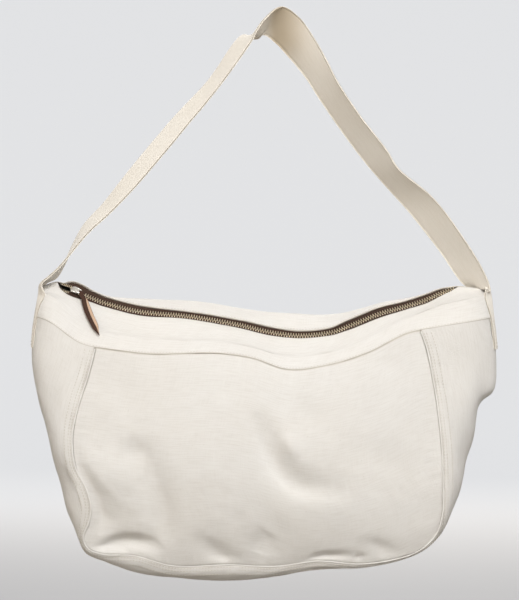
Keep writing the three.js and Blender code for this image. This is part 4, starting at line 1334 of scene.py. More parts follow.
CANVAS = ClothFinish(
    "undyed_canvas", colour=(0.815, 0.792, 0.755, 1), shade=(0.78, 0.745, 0.69, 1),
    fleck=(0.42, 0.36, 0.28, 1), threads=1500, twill=0.45, slub=0.9, relief=0.00028,
    seam_dirt_and_shade=0.65)
WEBBING = ClothFinish(
    "undyed_webbing", colour=(0.82, 0.78, 0.71, 1), shade=(0.785, 0.73, 0.64, 1),
    fleck=(0.48, 0.40, 0.29, 1), threads=900, twill=0.75, slub=0.2, relief=0.00009, seam_dirt_and_shade=0.25)
ZIP_TAPE = ClothFinish(
    "brown_zip_tape", colour=(0.052, 0.028, 0.018, 1), shade=(0.080, 0.046, 0.030, 1),
    fleck=(0.015, 0.008, 0.006, 1), threads=1500, twill=0.2, relief=0.00015, roughness=0.76,
    sheen=0.03, gap_shade=0.4, seam_dirt_and_shade=0.0)
BRASS = MetalFinish(
    "antique_brass", colour=(0.80, 0.68, 0.48, 1), worn=(0.95, 0.86, 0.68, 1),
    tarnish=(0.38, 0.27, 0.16, 1), roughness=0.32)
NICKEL = MetalFinish(
    "bright_nickel", colour=(0.90, 0.88, 0.84, 1), worn=(0.97, 0.96, 0.93, 1),
    tarnish=(0.62, 0.59, 0.54, 1), roughness=0.3)
DYED_LEATHER = LeatherFinish(
    "dyed_leather", colour=(0.034, 0.014, 0.008, 1), worn=(0.11, 0.05, 0.03, 1),
    roughness=0.6, pores=1400)
RAW_LEATHER = LeatherFinish(
    "raw_leather", colour=(0.53, 0.36, 0.25, 1), worn=(0.66, 0.49, 0.37, 1),
    roughness=0.8, pores=900)
# The folded seam edge is the canvas painted lighter: a painted highlight where the edge catches the
# light
SEAM_CORD_PAINTED_HIGHLIGHT = ClothFinish(
    "folded_seam_edge_painted_highlight", colour=(0.92, 0.90, 0.86, 1), shade=(0.88, 0.85, 0.80, 1),
    fleck=(0.55, 0.47, 0.37, 1), threads=1500, twill=0.45)
# The thread is as pale as the canvas; it is painted darker as painted shade round the stitches
SEWING_THREAD_PAINTED_SHADE = ThreadFinish(
    "cotton_thread_painted_shade", colour=(0.70, 0.665, 0.60, 1), shade=(0.60, 0.555, 0.48, 1))


class Wardrobe:
    """Makes each finish's material once."""

    def __init__(self) -> None:
        """Start with the shared effects and no material."""
        self.effects = Effects()
        self.made: dict[str, Material] = {}

    def dress(self, piece: Piece, *finishes: object) -> Piece:
        """Give a piece its finishes, the first one to all its faces.

        Args:
            piece: The piece.
            finishes: Its finishes.

        Returns:
            The piece.
        """
        for finish in finishes:
            if finish.name not in self.made:
                self.made[finish.name] = finish.material(self.effects)
            piece.data.materials.append(self.made[finish.name])
        return piece


def settle(piece: Piece, slot: str, *nodes: str) -> Piece:
    """Let a piece ride on the bag and hide the nodes that it stands for.

    Args:
        piece: The dressed piece.
        slot: The record's material slot; not used.
        nodes: CAD nodes that the piece replaces.

    Returns:
        The piece.
    """
    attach(piece, "root")
    if nodes:
        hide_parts(*nodes)
    LOG.info("%s: %d faces", piece.name, len(piece.data.polygons))
    return piece


@dataclass
class Body:
    """Panels and gusset of the bag, with the felled seams between them."""

    form: BagForm
    wardrobe: Wardrobe
    # Shares of the body's width and height that a panel measures
    panel_width: float = 0.74
    panel_height: float = 0.75
    front_step: float = 2.1
    back_step: float = 3.2
    gusset_steps: tuple[float, float] = (2.6, 3.0)
    gusset_width: float = 130
    panel_roll: tuple[float, float] = (1.7, 1.9)
    gusset_roll: tuple[float, float] = (1.5, 1.7)
    welt_radius: float = 0.85
    welt_lift: float = 0.7
    welt_flatness: float = 0.85
    welt_swell: float = 0.12
    welt_stations: int = 620
    welt_sides: int = 10
    seam_rows: tuple[float, ...] = (2.6, 5.6, 11.2)
    stitch_lift: float = 0.12
    fell_width: float = 12.6
    fell_slope: float = 1.2
    fell_height: float = 0.55
    # Dents of the gusset. Columns: x, z, half width, half height, depth
    dent_rows: tuple = (
        (250, -452, 9, 30, 4.5), (228, -520, 10, 26, 2.5), (-244, -545, 12, 24, 4.0),
        (-262, -470, 14, 30, 1.5),
    )
    swell_depth: float = 1.6
    swell_size: float = 46
    swell_lean: float = 0.6
    # Distances from a seam between which the dents grow to their full depth
    dent_fade: tuple[float, float] = (4, 22)

    def gusset_relief(self, v: Grid, points: Grid) -> Grid:
        """Flat fell beside both seams, with its edge a step down, and a few long dents.

        Args:
            v: Shares across the gusset.
            points: Its points.

        Returns:
            How far each point moves out.
        """
        run = run_along(points, 1)
        away = np.minimum(run, run[:, -1:] - run)
        x, y, z = np.moveaxis(points, -1, 0)
        fell = 1 - smoothstep(away, self.fell_width - self.fell_slope, self.fell_width)
        dents = self.swell_depth * lattice_noise(x * self.swell_lean + y, z, self.swell_size, 31)
        for across, height, wide, tall, depth in self.dent_rows:
            dents = dents - depth * np.exp(-((x - across) / wide) ** 2
                                           - ((z - height) / tall) ** 2)
        return self.fell_height * fell + dents * smoothstep(away, *self.dent_fade)

    def build(self) -> list[Piece]:
        """Build, dress and settle every piece of the body."""
        form, made = self.form, []
        wide, tall = form.body_width * self.panel_width, form.body_height * self.panel_height
        for side, step, seed, unevenness in ((Side.FRONT, self.front_step, 3, 0.5),
                                             (Side.BACK, self.back_step, 11, 0.9)):
            made.append(ClothPiece(
                f"{side.word}_panel_cloth", form.panel(side), side.value,
                spaced(wide, step), spaced(tall, step), seed=seed, unevenness=unevenness,
                pucker=0.55, roll=self.panel_roll).build())
        made.append(ClothPiece(
            "gusset_cloth", form.gusset_by_length, -1,
            spaced(form.seam_rail.length, self.gusset_steps[0]),
            spaced(self.gusset_width, self.gusset_steps[1]), seed=21, unevenness=0.5, pucker=0.6,
            rolled=("low", "high"), roll=self.gusset_roll, relief=self.gusset_relief).build())
        for piece in made:
            settle(self.wardrobe.dress(piece, CANVAS), "canvas", piece.name.removesuffix("_cloth"))
        return [*made, *self.welts(), self.stitches()]

    def welts(self) -> list[Piece]:
        """Round folded edges that lie on the two long seams, their canvas painted lighter as a
        highlight.
        """
        made = []
        section = rounded_section(2 * self.welt_radius, 2 * self.welt_radius * self.welt_flatness,
                                  2.2, self.welt_sides)
        share = np.linspace(0.002, 0.998, self.welt_stations)
        swell = 1 + self.welt_swell * lattice_noise(share * 1000, 0 * share, 7, 5)
        for side, rail in ((Side.FRONT, self.form.seam_rail), (Side.BACK, self.form.back_rail)):
            path = rail.at_length(share)
            ahead = unit(np.gradient(path, axis=0))
            up = np.tile([0.0, side.value, 0.0], (len(path), 1))
            beside = unit(np.cross(ahead, up))
            up = np.cross(beside, ahead)
            points = swept_rings(path + up * self.welt_lift, beside, up, section, swell, swell)
            station, corner = np.divmod(np.arange(len(points)), self.welt_sides)
            uv = np.stack([station * rail.length / len(path), corner], axis=-1) * MILLIMETRE
            node = f"{side.word}_seam_welt"
            piece = make_object(f"{node}_cloth", points,
                                ring_faces(len(path), self.welt_sides), uv)
            made.append(settle(self.wardrobe.dress(piece, SEAM_CORD_PAINTED_HIGHLIGHT), "canvas", node))
        return made

    def stitches(self) -> Piece:
        """Rows of thread on the gusset, beside the front and the back seam."""
        surface, lift = self.form.gusset_by_length, self.fell_height + self.stitch_lift
        u = np.linspace(0.004, 0.996, 420)
        rows = [row_on(surface, u, share_at_distance(surface, u, distance, from_high), -1, lift)
                for from_high in (False, True) for distance in self.seam_rows]
        piece = stitched("seam_stitches", rows)
        return settle(self.wardrobe.dress(piece, SEWING_THREAD_PAINTED_SHADE), "canvas")


@dataclass
class TopBand:
    """Yoke band and facings round the mouth of the bag."""

    form: BagForm
    wardrobe: Wardrobe
    step_along: float = 2.2
    # How the two cuts are made. Columns: usual width, step, rolled edge, seed, pucker, roll
    band_cut: tuple = (38, 2.4, "low", 41, 0.35, (0.8, 1.15))
    facing_cut: tuple = (34, 1.8, "high", 51, 0.3, (0.9, 1.15))
    unevenness: float = 0.3
    stitch_inset: float = 2.2
    stitch_sizes: tuple[float, float, float] = (0.05, 0.6, 0.25)
    zip_row_across: tuple[float, float] = (-0.44, 0.415)

    def build(self) -> list[Piece]:
        """Build, dress and settle the bands, the facings and their stitches."""
        form, made = self.form, []
        along = spaced(form.body_width, self.step_along)
        for side in Side:
            for name, surface, cut in (("top_band", form.band(side), self.band_cut),
                                       ("zip_facing", form.facing(side), self.facing_cut)):
                width, step, edge, seed, pucker, roll = cut
                node = f"{side.word}_{name}"
                piece = ClothPiece(
                    f"{node}_cloth", surface, -side.value, along, spaced(width, step),
                    rolled=(edge,), seed=seed + side.value, unevenness=self.unevenness,
                    pucker=pucker, roll=roll).build()
                made.append(settle(self.wardrobe.dress(piece, CANVAS), "canvas", node))
        return [*made, self.stitches()]

    def stitches(self) -> Piece:
        """Rows above the yoke seam and beside the zip."""
        form, rows = self.form, []
        lift, width, height = self.stitch_sizes
        yoke = np.linspace(0.01, 0.99, 300)
        zipped = np.linspace(*(form.zip_share(across) for across in self.zip_row_across), 260)
        for side in Side:
            for surface, u, from_high, reach in ((form.band(side), yoke, False, 0.5),
                                                 (form.facing(side), zipped, True, 0.9)):
                v = share_at_distance(surface, u, self.stitch_inset, from_high, reach)
                rows.append(row_on(surface, u, v, -side.value, lift, width=width, height=height))
        piece = stitched("top_stitches", rows)
        return settle(self.wardrobe.dress(piece, SEWING_THREAD_PAINTED_SHADE), "canvas")


@dataclass
class ZipClosure:
    """Tapes, teeth, slider and leather pull."""

    form: BagForm
    wardrobe: Wardrobe
    chain_width: float = 5.5
    chain_lift: float = 1.6
    chain_shift: float = 0.17
    tooth_pitch: float = 3.1
    tooth_length: float = 4.1
    tooth_width: float = 1.3
    tooth_height: float = 1.7
    row_drop: float = 0.75
    slider_across: float = -0.405
    chain_end_across: float = 0.41
    zip_start_across: float = -0.449
    eye_start_across: float = -0.438
    eye_end_across: float = -0.4185
    tape_end_across: float = 0.4185
    eye_spread: float = 1.2
    eye_teeth: int = 6
    # Half of the gap between the tapes: before the eye, and where the chain is closed
    start_gap: float = 0.4
    closed_gap: float = 0.5
    # Shares across over which the gap opens and closes
    eye_opens: float = 0.006
    eye_closes: float = 0.004
    head_overlap: float = 0.75
    tooth_sink: float = 0.35
    # Columns: reach along the tooth, share of its width, share of its height
    tooth_levels: tuple = (
        (0.0, 0.80, 0.85), (0.25, 1.0, 1.0), (0.55, 1.0, 1.0), (0.72, 0.72, 0.82),
        (0.86, 0.95, 0.86), (1.0, 0.62, 0.6),
    )
    tape_length: float = 480
    tape_width: float = 13
    tape_thickness: float = 0.6
    tape_tuck: float = 6
    # How deep a tape lies: under the facing, and how much higher at the chain
    tape_sink: float = 1.9
    tape_rise: float = 0.5
    slider_length: float = 14
    slider_width: float = 10.4
    slider_plate: float = 1.6
    plate_gap: float = 1.9
    plate_corners: int = 32
    # Outlines of a plate from its underside up. Columns: rise, size
    plate_levels: tuple = (
        (0.0, 0.0), (0.0, 0.55), (0.0, 0.9), (0.25, 1.0), (0.7, 1.0), (0.92, 0.93), (1.0, 0.8),
    )
    bail_span: float = 7
    bail_rise: float = 1.9
    bail_lean: float = 5.0
    bail_bar: float = 1.2
    bail_shift: float = 3.2
    thong_width: float = 5.4
    thong_thickness: float = 1.3
    thong_reach: float = 53
    thong_start: float = 6.0
    thong_drift: float = 0.5
    # How far the two tails stand off the cloth
    thong_low: float = 1.75
    thong_high: float = 3.5
    thong_stations: int = 150
    # The strip's section, in shares of its width and thickness. Columns: sideways, up
    thong_section: tuple = ((-0.5, -0.3), (-0.42, -0.5), (0.42, -0.5), (0.5, -0.3), (0.5, 0.3),
                            (0.42, 0.5), (-0.42, 0.5), (-0.5, 0.3))

    def build(self) -> list[Piece]:
        """Build, dress and settle every piece of the zip."""
        return [*self.tapes(), *self.teeth(), self.slider(), self.thong()]

    def frame_at(self, u: Grid) -> tuple[Grid, Grid, Grid, Grid]:
        """Frame of the chain, which hangs towards the front of the opening."""
        middle, along, down, out = self.form.zip_frame(u)
        shift = self.chain_shift * self.form.zip_opening(u)
        return middle + down * shift[..., None], along, down, out

    def tape_inner(self, u: Grid) -> Grid:
        """Distance from the zip's middle to a tape's inner edge."""
        across = self.form.zip_across(u)
        opened = smoothstep(across, self.zip_start_across, self.eye_start_across + self.eye_opens)
        spread = lerp(self.start_gap, self.chain_width / 2 + self.eye_spread, opened)
        closed = smoothstep(across, self.eye_end_across, self.slider_across + self.eye_closes)
        return lerp(spread, self.closed_gap, closed)

    def tape_surface(self, side: Side) -> Surface:
        """Tape from under the facing to the chain's middle.

        Args:
            side: The side of the bag.

        Returns:
            The tape's surface.
        """
        form, facing = self.form, self.form.facing(side)
        start, end = (form.zip_share(across)
                      for across in (self.zip_start_across, self.tape_end_across))

        def surface(s: Grid, v: Grid) -> Grid:
            """Points of the tape."""
            u = lerp(start, end, s)
            middle, _, down, out = form.zip_frame(u)
            away = -side.value * down
            opening = form.zip_opening(u)
            shift = -side.value * self.chain_shift * opening
            inner = np.minimum(self.tape_inner(u), np.maximum(0.8 * opening - 0.2, 0.1)) + shift
            offset = lerp(opening + self.tape_tuck * smoothstep(opening, 0, 4), inner, v)
            sink = self.tape_sink - self.tape_rise * smoothstep(v, 0.3, 1)
            under = np.clip(offset - opening, 0, None)
            slope = unit(facing(u, np.full_like(u, 0.8)) - facing(u, np.ones_like(u)))
            flat = middle + away * np.minimum(offset, opening)[..., None]
            return flat + slope * under[..., None] - out * sink[..., None]

        return surface

    def tapes(self) -> list[Piece]:
        """The two woven tapes."""
        made = []
        for side in Side:
            node = f"zip_tape_{side.word}"
            piece = ClothPiece(
                f"{node}_cloth", self.tape_surface(side), -side.value,
                spaced(self.tape_length, 1.6, ()), spaced(self.tape_width, 0.9, ()),
                thickness=self.tape_thickness, rolled=(), unevenness=0.08, seed=61).build()
            made.append(settle(self.wardrobe.dress(piece, ZIP_TAPE), "tape", node))
        return made

    def tooth_shape(self) -> tuple[Grid, Grid]:
        """One tooth: a clamp over the tape's edge that narrows to a dimpled head."""
        points = [(reach * self.tooth_length, y * wide * self.tooth_width,
                   z * tall * self.tooth_height) for reach, wide, tall in self.tooth_levels
                  for y, z in rounded_section(1, 1, 3.0, 8)]
        return np.array(points), octagon_tube(len(self.tooth_levels), True)

    def tooth_row(self, name: str, stations: Grid, sides: Grid, offsets: Grid) -> Piece:
        """Teeth at given places.

        Args:
            name: The object's name.
            stations: Shares along the zip.
            sides: 1 for a tooth of the front tape, -1 for one of the back tape.
            offsets: Distance from the middle to each tooth's head.

        Returns:
            The new object.
        """
        shape, quads = self.tooth_shape()
        middle, along, down, out = self.frame_at(stations)
        away = down * sides[:, None]
        drop = self.chain_lift - self.tooth_sink + self.row_drop * (sides > 0)
        start = middle + away * (offsets + self.tooth_length)[:, None] - out * drop[:, None]
        points = (start[:, None] - away[:, None] * shape[None, :, :1]
                  + along[:, None] * shape[None, :, 1:2] + out[:, None] * shape[None, :, 2:])
        faces = quads[None] + np.arange(len(stations))[:, None, None] * len(shape)
        faces = np.where(sides[:, None, None] < 0, faces[:, :, ::-1], faces)
        return make_object(name, points.reshape(-1, 3), faces.reshape(-1, 4))

    def teeth(self) -> list[Piece]:
        """The closed chain and the two open rows left of the slider."""
        form = self.form
        start = form.zip_share(self.slider_across + 0.002)
        fine = np.linspace(start, form.zip_share(self.chain_end_across), 2000)
        run = run_along(form.zip_point(fine))
        count = int(run[-1] / (self.tooth_pitch / 2))
        stations = np.interp(np.arange(count) * self.tooth_pitch / 2, run, fine)
        sides = np.where(np.arange(count) % 2 == 0, 1.0, -1.0)
        chain = self.tooth_row("zip_chain", stations, sides, np.full(count, -self.head_overlap))
        made = [(chain, "zip_teeth")]
        eye = np.linspace(form.zip_share(self.eye_start_across),
                          form.zip_share(self.eye_end_across), self.eye_teeth)
        inner = np.maximum(self.tape_inner(eye) - 1.2, 0.2)
        for side in Side:
            word = side.word
            row = self.tooth_row(f"open_teeth_{word}", eye,
                                 np.full(self.eye_teeth, -float(side.value)), inner)
            made.append((row, f"zip_teeth_open_{word}"))
        return [settle(self.wardrobe.dress(piece, BRASS), "teeth", node)
                for piece, node in made]

    def slider_frame(self) -> tuple[Grid, Grid, Grid, Grid]:
        """Middle of the slider and its directions along, up the front and out."""
        middle, along, down, out = self.frame_at(
            np.array(self.form.zip_share(self.slider_across)))
        return middle, along, -down, out

    def plate(self, bottom: float, crown: float) -> tuple[Grid, Grid]:
        """Rounded plate of the slider: a stack of outlines, pillowed on its upper face.

        Args:
            bottom: Height of its underside.
            crown: How far the pillow rises, as a share of the plate's thickness.

        Returns:
            Points along, beside and above the slider, and quads.
        """
        angle = full_turn(self.plate_corners)
        along, beside = superellipse(angle, 2.6)
        waist = 1 - 0.16 * smoothstep(np.cos(angle), -0.2, 1) + 0.05 * np.cos(2 * angle)
        outline = np.stack([along * self.slider_length / 2,
                            beside * self.slider_width / 2 * waist], axis=-1)
        levels = (*self.plate_levels, (1.0 + crown, 0.45), (1.0 + crown * 1.15, 0.0))
        points = [np.column_stack([outline * size, np.full(
            self.plate_corners, bottom + rise * self.slider_plate)]) for rise, size in levels]
        return np.concatenate(points), ring_faces(len(levels), self.plate_corners)

    def bail(self, base: float) -> tuple[Grid, Grid]:
        """Bent wire that stands on the upper plate and holds the leather.

        Args:
            base: Height at which its feet stand.

        Returns:
            Points along, beside and above the slider, and quads.
        """
        angle = np.linspace(0, math.pi, 25)
        reach, rise = self.bail_span / 2 + self.bail_bar / 2, self.bail_rise + self.bail_bar / 2
        bow = -np.sign(np.cos(angle)) * np.abs(np.cos(angle)) ** 0.55 * reach
        arch = np.stack([bow + self.bail_shift, -np.sin(angle) * self.bail_lean,
                         base + np.sin(angle) ** 0.55 * (rise + 0.3)], axis=-1)
        ahead = unit(np.gradient(arch, axis=0))
        beside = np.tile([0.0, 1.0, 0.0], (len(arch), 1))
        section = rounded_section(2.2, 1.15, 2.6, 12)
        return (swept_rings(arch, beside, np.cross(ahead, beside), section),
                ring_faces(len(arch), len(section)))

    def slider(self) -> Piece:
        """Slider body of two plates and a neck, with its bail."""
        middle, along, up, out = self.slider_frame()
        top = -self.chain_lift + self.plate_gap
        neck = np.array([(x, y, z) for x in (-5.2, -2.8) for y in (-0.8, 0.8)
                         for z in (-self.chain_lift - 2.2, top + 0.4)], float)
        box = np.array([(0, 1, 3, 2), (4, 6, 7, 5), (0, 4, 5, 1), (2, 3, 7, 6), (0, 2, 6, 4),
                        (1, 5, 7, 3)])
        points, faces, start = [], [], 0
        for local, quads in (self.plate(top, 0.25), self.plate(-self.chain_lift - 3.3, 0.1),
                             self.bail(top + self.slider_plate * 0.8), (neck, box)):
            points.append(middle + local[:, :1] * along + local[:, 1:2] * up + local[:, 2:] * out)
            faces.append(quads + start)
            start += len(local)
        piece = make_object("zip_slider_body", np.concatenate(points), np.concatenate(faces))
        return settle(self.wardrobe.dress(piece, NICKEL), "slider", "zip_slider")

    def thong_point(self, reach: float, rise: float, sway: float) -> Grid:
        """Place of the leather beside the slider.

        Args:
            reach: Distance down the front.
            rise: Distance off the cloth.
            sway: Distance along the zip.

        Returns:
            One point.
        """
        form = self.form
        share = form.zip_share(self.slider_across)
        middle, along, down, out = self.frame_at(np.array(share))
        drift = self.thong_start + max(reach, 0) * self.thong_drift + sway
        edge = float(form.zip_opening(np.array(share)))
        if reach <= edge:
            return middle + down * reach + along * drift + out * rise
        u = share + drift / (form.body_width * (form.zip_rows[-1][0] - form.zip_rows[0][0]))
        facing, band = form.facing(Side.FRONT), form.band(Side.FRONT)
        here = np.array(u)
        length = float(np.linalg.norm(facing(here, 1.0) - facing(here, 0.0)))
        v = 1 - (reach - float(form.zip_opening(here))) / length
        height = float(np.linalg.norm(form.front_crease(here) - form.front_yoke(here)))
        surface, place = (facing, v) if v > 0 else (band, 1 + v * length / height)
        row = row_on(surface, here[None], np.array([place]), 1, 0.0)
        return row.points[0] + row.normals[0] * rise

    def thong(self) -> Piece:
        """Leather strip folded through the bail: dyed outside, raw on its inner side."""
        bar = (-self.chain_lift + self.plate_gap + self.slider_plate + self.bail_rise
               + self.bail_bar / 2)
        turn = self.bail_bar / 2 + 0.3 + self.thong_thickness / 2
        low, high, lean, far = self.thong_low, self.thong_high, self.bail_lean, self.thong_reach
        # Columns: reach, rise, sway
        rows = (
            (far * 0.93, low, 1.8), (far * 0.8, low, 3.2), (far * 0.6, low, 3.6),
            (far * 0.4, low, 3.2), (far * 0.26, low + 0.6, 1.8),
            (lean + 3.2, bar - turn * 1.05, 0.6), (lean + 1, bar - turn, 0),
            (lean - 1, bar - turn, 0), (lean - 1 - turn * 0.8, bar - turn * 0.6, 0),
            (lean - 1 - turn, bar, 0), (lean - 1 - turn * 0.8, bar + turn * 0.6, 0),
            (lean - 1, bar + turn, 0), (lean + 1, bar + turn, 0),
            (lean + 4, bar + turn * 0.6, -0.4),
            (far * 0.26, high + 1.6, -0.9), (far * 0.4, high + 0.7, -0.9),
            (far * 0.6, high + 0.3, -0.6), (far * 0.8, high, 0.2), (far, high - 0.2, 1.4))
        share = np.linspace(0, 1, self.thong_stations)
        path = Rail(np.array([self.thong_point(*row) for row in rows])).at_length(share)
        ahead = unit(np.gradient(path, axis=0))
        _, along, _, _ = self.slider_frame()
        beside = unit(along - ahead * dot(np.broadcast_to(along, ahead.shape), ahead))
        above = np.cross(ahead, beside)
        end = np.minimum(share, 1 - share)
        width = self.thong_width * lerp(0.22, 1, smoothstep(end, 0, 0.10)) * lerp(
            0.86, 1, smoothstep(end, 0.1, 0.3))
        points = swept_rings(path, beside, above, np.array(self.thong_section), width,
                             self.thong_thickness)
        faces = octagon_tube(len(path))
        piece = make_object("leather_pull", points, faces)
        self.wardrobe.dress(piece, DYED_LEATHER, RAW_LEATHER)
        # The wide faces of the strip are columns 1 and 5 of its eight
        raw = np.arange(len(faces)) % 8 == (1 if self.inner_side(path, above) < 0 else 5)
        raw[8 * (len(path) - 1):] = False
        piece.data.polygons.foreach_set("material_index", raw.astype(np.int32))
        piece.data.update()
        return settle(piece, "thong", "pull_thong")

    def inner_side(self, path: Grid, above: Grid) -> int:
        """Sign of the strip's normal that points to the other tail, at a quarter of its length."""
        first, other = len(path) // 5, len(path) - 1 - len(path) // 5
        return 1 if float(above[first] @ (path[other] - path[first])) > 0 else -1


@dataclass
class ShoulderStrap:
    """One webbing strap with its ends sewn down the sides of the bag."""

    form: BagForm
    wardrobe: Wardrobe
    # Only how finely the strap's mesh is cut follows this length
    length: float = 1150
    width: float = 45
    thickness: float = 1.7
    sewn_length: float = 67
    stand_off: float = 0.1
    corner_bow: float = 3
    # How strongly the crest's painted shade pulls the inner face towards the fleck colour
    crest_painted_shade_gain: float = 4.0
    left_end: tuple = (-0.4825, 0.006)
    right_end: tuple = (0.481, 0.020)
    # Columns: along, down, lean across, lean up
    left_rows: tuple = (
        (0.949, 0.973, -0.1, 0.02), (0.908, 0.930, 0.02, 0), (0.809, 0.795, 0.22, -0.19),
        (0.7115, 0.707, 0.295, -0.24), (0.599, 0.592, 0.36, -0.3), (0.4035, 0.387, 0.38, -0.29),
        (0.256, 0.239, 0.31, -0.235), (0.112, 0.0665, 0.24, -0.26), (0.083, 0.052, 0.16, 0.08),
        (0.048, 0.028, 0.22, 0.45),
    )
    crest_lean: tuple = (0.48, 0.68)
    right_rows: tuple = (
        (0.0656, 0.0337, 0.62, 0.62), (0.1336, 0.1017, 0.67, 0.42),
        (0.2017, 0.1814, 0.54, 0.37), (0.2552, 0.2552, 0.46, 0.36),
        (0.3651, 0.3856, 0.45, 0.34), (0.4841, 0.5104, 0.47, 0.34), (0.5457, 0.5769, 0.38, 0.3),
        (0.6939, 0.6918, 0.55, 0.38), (0.8422, 0.8474, 0.53, 0.36), (0.9128, 0.9366, 0.6, 0.2),
        (0.9481, 0.984, 0.56, 0.03), (0.966, 1.002, 0.42, -0.1),
    )
    across: tuple = (-1, -0.5, 0, 0.5, 1)
    # Levels at which the sewn end is fitted, down the gusset and up the band
    gusset_levels: tuple = (1, 0.55, 0.1)
    band_levels: tuple = (0.12, 0.5, 0.9)
    halvings: int = 30
    # Selvedge: a cord and the groove beside it. Columns: height, distance in, width
    selvedge_rows: tuple = ((0.25, 2.0, 1.1), (-0.3, 4.2, 0.7))
    # Where painted shade darkens the crest's inner face. Columns: from, to
    crest_from: tuple = (-14, 4)
    crest_to: tuple = (8, 62)
    crest_fall: tuple = (-70, -20)
    stitch_lift: float = 0.12
    # Shares of the strap: how far up its side rows reach, their insets, and the cross rows
    side_rows: tuple = (0.004, 0.075)
    side_insets: tuple = (0.07, 0.93)
    cross_rows: tuple = (0.006, 0.012)

    def free_station(self, row: Sequence[float], corner: Grid) -> list[Grid]:
        """Points across the free strap at one row of a table."""
        depth = -math.sqrt(max(0, 1 - row[2] ** 2 - row[3] ** 2))
        lean = np.array([row[2], depth, row[3]])
        middle = np.array([corner[0] * row[0], 0, corner[2] * row[1]])
        return [middle + lean * share * self.width / 2 for share in self.across]

    def corner_station(self, corner: Grid, end: End) -> list[Grid]:
        """Points across the strap where it leaves the top corner."""
        return [corner + np.array([-end.value * self.corner_bow * share**2,
                                   -share * self.width / 2, 0]) for share in self.across]

    def sewn_station(self, ring_of: Callable, level: float, end: End) -> list[Grid]:
        """Points across the sewn strap, which lies on the bag's end.

        Args:
            ring_of: Point of the bag's end at a level and a place from -1 to 1 round it.
            level: The station's level.
            end: The end of the bag.

        Returns:
            Five points.
        """
        made, probe = [], SLOPE_STEP
        for share in self.across:
            low, high = -1.0, 1.0
            for _ in range(self.halvings):
                middle = (low + high) / 2
                if ring_of(level, middle)[1] < -share * self.width / 2:
                    low = middle
                else:
                    high = middle
            at = (low + high) / 2
            around = ring_of(level, at + probe) - ring_of(level, at - probe)
            upward = ring_of(level + probe, at) - ring_of(level - probe, at)
            normal = unit(np.cross(around, upward))
            if normal[0] * end.value < 0:
                normal = -normal
            made.append(ring_of(level, at) + normal * self.stand_off)
        return made

    def sewn_stations(self, end: End) -> list[list[Grid]]:
        """Stations of a sewn end, from its lowest one up.

        Args:
            end: The end of the bag.

        Returns:
            The points across each station.
        """
        form, left = self.form, end is End.LEFT
        word = "left" if left else "right"
        height = np.linalg.norm(form.yoke_ends[f"edge_{word}"] - form.top_ends[f"edge_{word}"])
        share = (self.sewn_length - height) / form.edge_rail.length

        def on_gusset(level: float, at: float) -> Grid:
            """Point of the gusset below the yoke seam."""
            run = max(level, 0) * share
            t = form.edge_rail.row_share(np.array(run if left else 1 - run))
            return form.gusset(t, np.array(0.5 + 0.5 * at))

        def on_band(level: float, at: float) -> Grid:
            """Point of the band above it."""
            u = 0.25 * abs(at)
            band = form.band(Side.FRONT if at < 0 else Side.BACK)
            return band(np.array(u if left else 1 - u), np.array(level))

        return [self.sewn_station(ring_of, level, end)
                for ring_of, levels in ((on_gusset, self.gusset_levels),
                                        (on_band, self.band_levels)) for level in levels]

    def face(self) -> Surface:
        """Inner face of the strap from its left end to its right end."""
        form = self.form
        left = form.place(*self.left_end, 0)
        right = form.place(*self.right_end, 0)
        stations = [
            *self.sewn_stations(End.LEFT), self.corner_station(left, End.LEFT),
            *(self.free_station(row, left) for row in self.left_rows),
            self.free_station((0, 0, *self.crest_lean), left),
            *(self.free_station(row, right) for row in self.right_rows),
            self.corner_station(right, End.RIGHT), *reversed(self.sewn_stations(End.RIGHT))]
        columns = [Rail(np.array([station[k] for station in stations])) for k in range(5)]

        def surface(u: Grid, v: Grid) -> Grid:
            """Points of the strap's inner face."""
            u, v = np.asarray(u, float), np.asarray(v, float)
            place = v * 4
            k = np.clip(np.floor(place).astype(int), 0, 3)
            curves = np.stack([column.at(u) for column in columns])
            low = np.take_along_axis(curves, k[None, ..., None], axis=0)[0]
            high = np.take_along_axis(curves, k[None, ..., None] + 1, axis=0)[0]
            return lerp(low, high, (place - k)[..., None])

        return surface

    def selvedge(self, v: Grid, points: Grid) -> Grid:
        """Selvedge cords at both edges of the webbing."""
        away = np.minimum(v, 1 - v) * self.width
        return sum(height * np.exp(-((away - inset) / width) ** 2)
                   for height, inset, width in self.selvedge_rows)

    def crest_painted_shade(self, v: Grid, points: Grid) -> Grid:
        """Painted shade on the inner face where the webbing bends over at the top."""
        x, z = points[..., 0], points[..., 2]
        right = smoothstep(x, *self.crest_from) * (1 - smoothstep(x, *self.crest_to))
        return self.crest_painted_shade_gain * right * smoothstep(z, *self.crest_fall)

    def build(self) -> list[Piece]:
        """Build, dress and settle the strap and its stitches."""
        inner = self.face()

        def outer(u: Grid, v: Grid) -> Grid:
            """Outer face of the webbing."""
            return inner(u, v) - surface_normal(inner, u, v, 0.001, 0.02) * self.thickness

        strap = ClothPiece("shoulder_strap_webbing", outer, -1, spaced(self.length, 2.4, ()),
                           spaced(self.width, 1.4, (0.4, 0.9)), thickness=self.thickness,
                           rolled=("low", "high"), roll=(0.8, 1.3), unevenness=0.18, seed=71,
                           relief=self.selvedge, inner_painted_shade=self.crest_painted_shade).build()
        rows = []
        run, cross = np.linspace(*self.side_rows, 60), np.linspace(*self.side_insets, 30)
        for end in End:
            for u, v in (*((run, np.full(60, inset)) for inset in self.side_insets),
                         *((np.full(30, level), cross) for level in self.cross_rows)):
                rows.append(row_on(outer, 1 - u if end is End.RIGHT else u, v, -1,
                                   self.stitch_lift))
        stitches = stitched("strap_stitches", rows)
        return [settle(self.wardrobe.dress(strap, WEBBING), "webbing", "shoulder_strap"),
                settle(self.wardrobe.dress(stitches, SEWING_THREAD_PAINTED_SHADE), "webbing")]


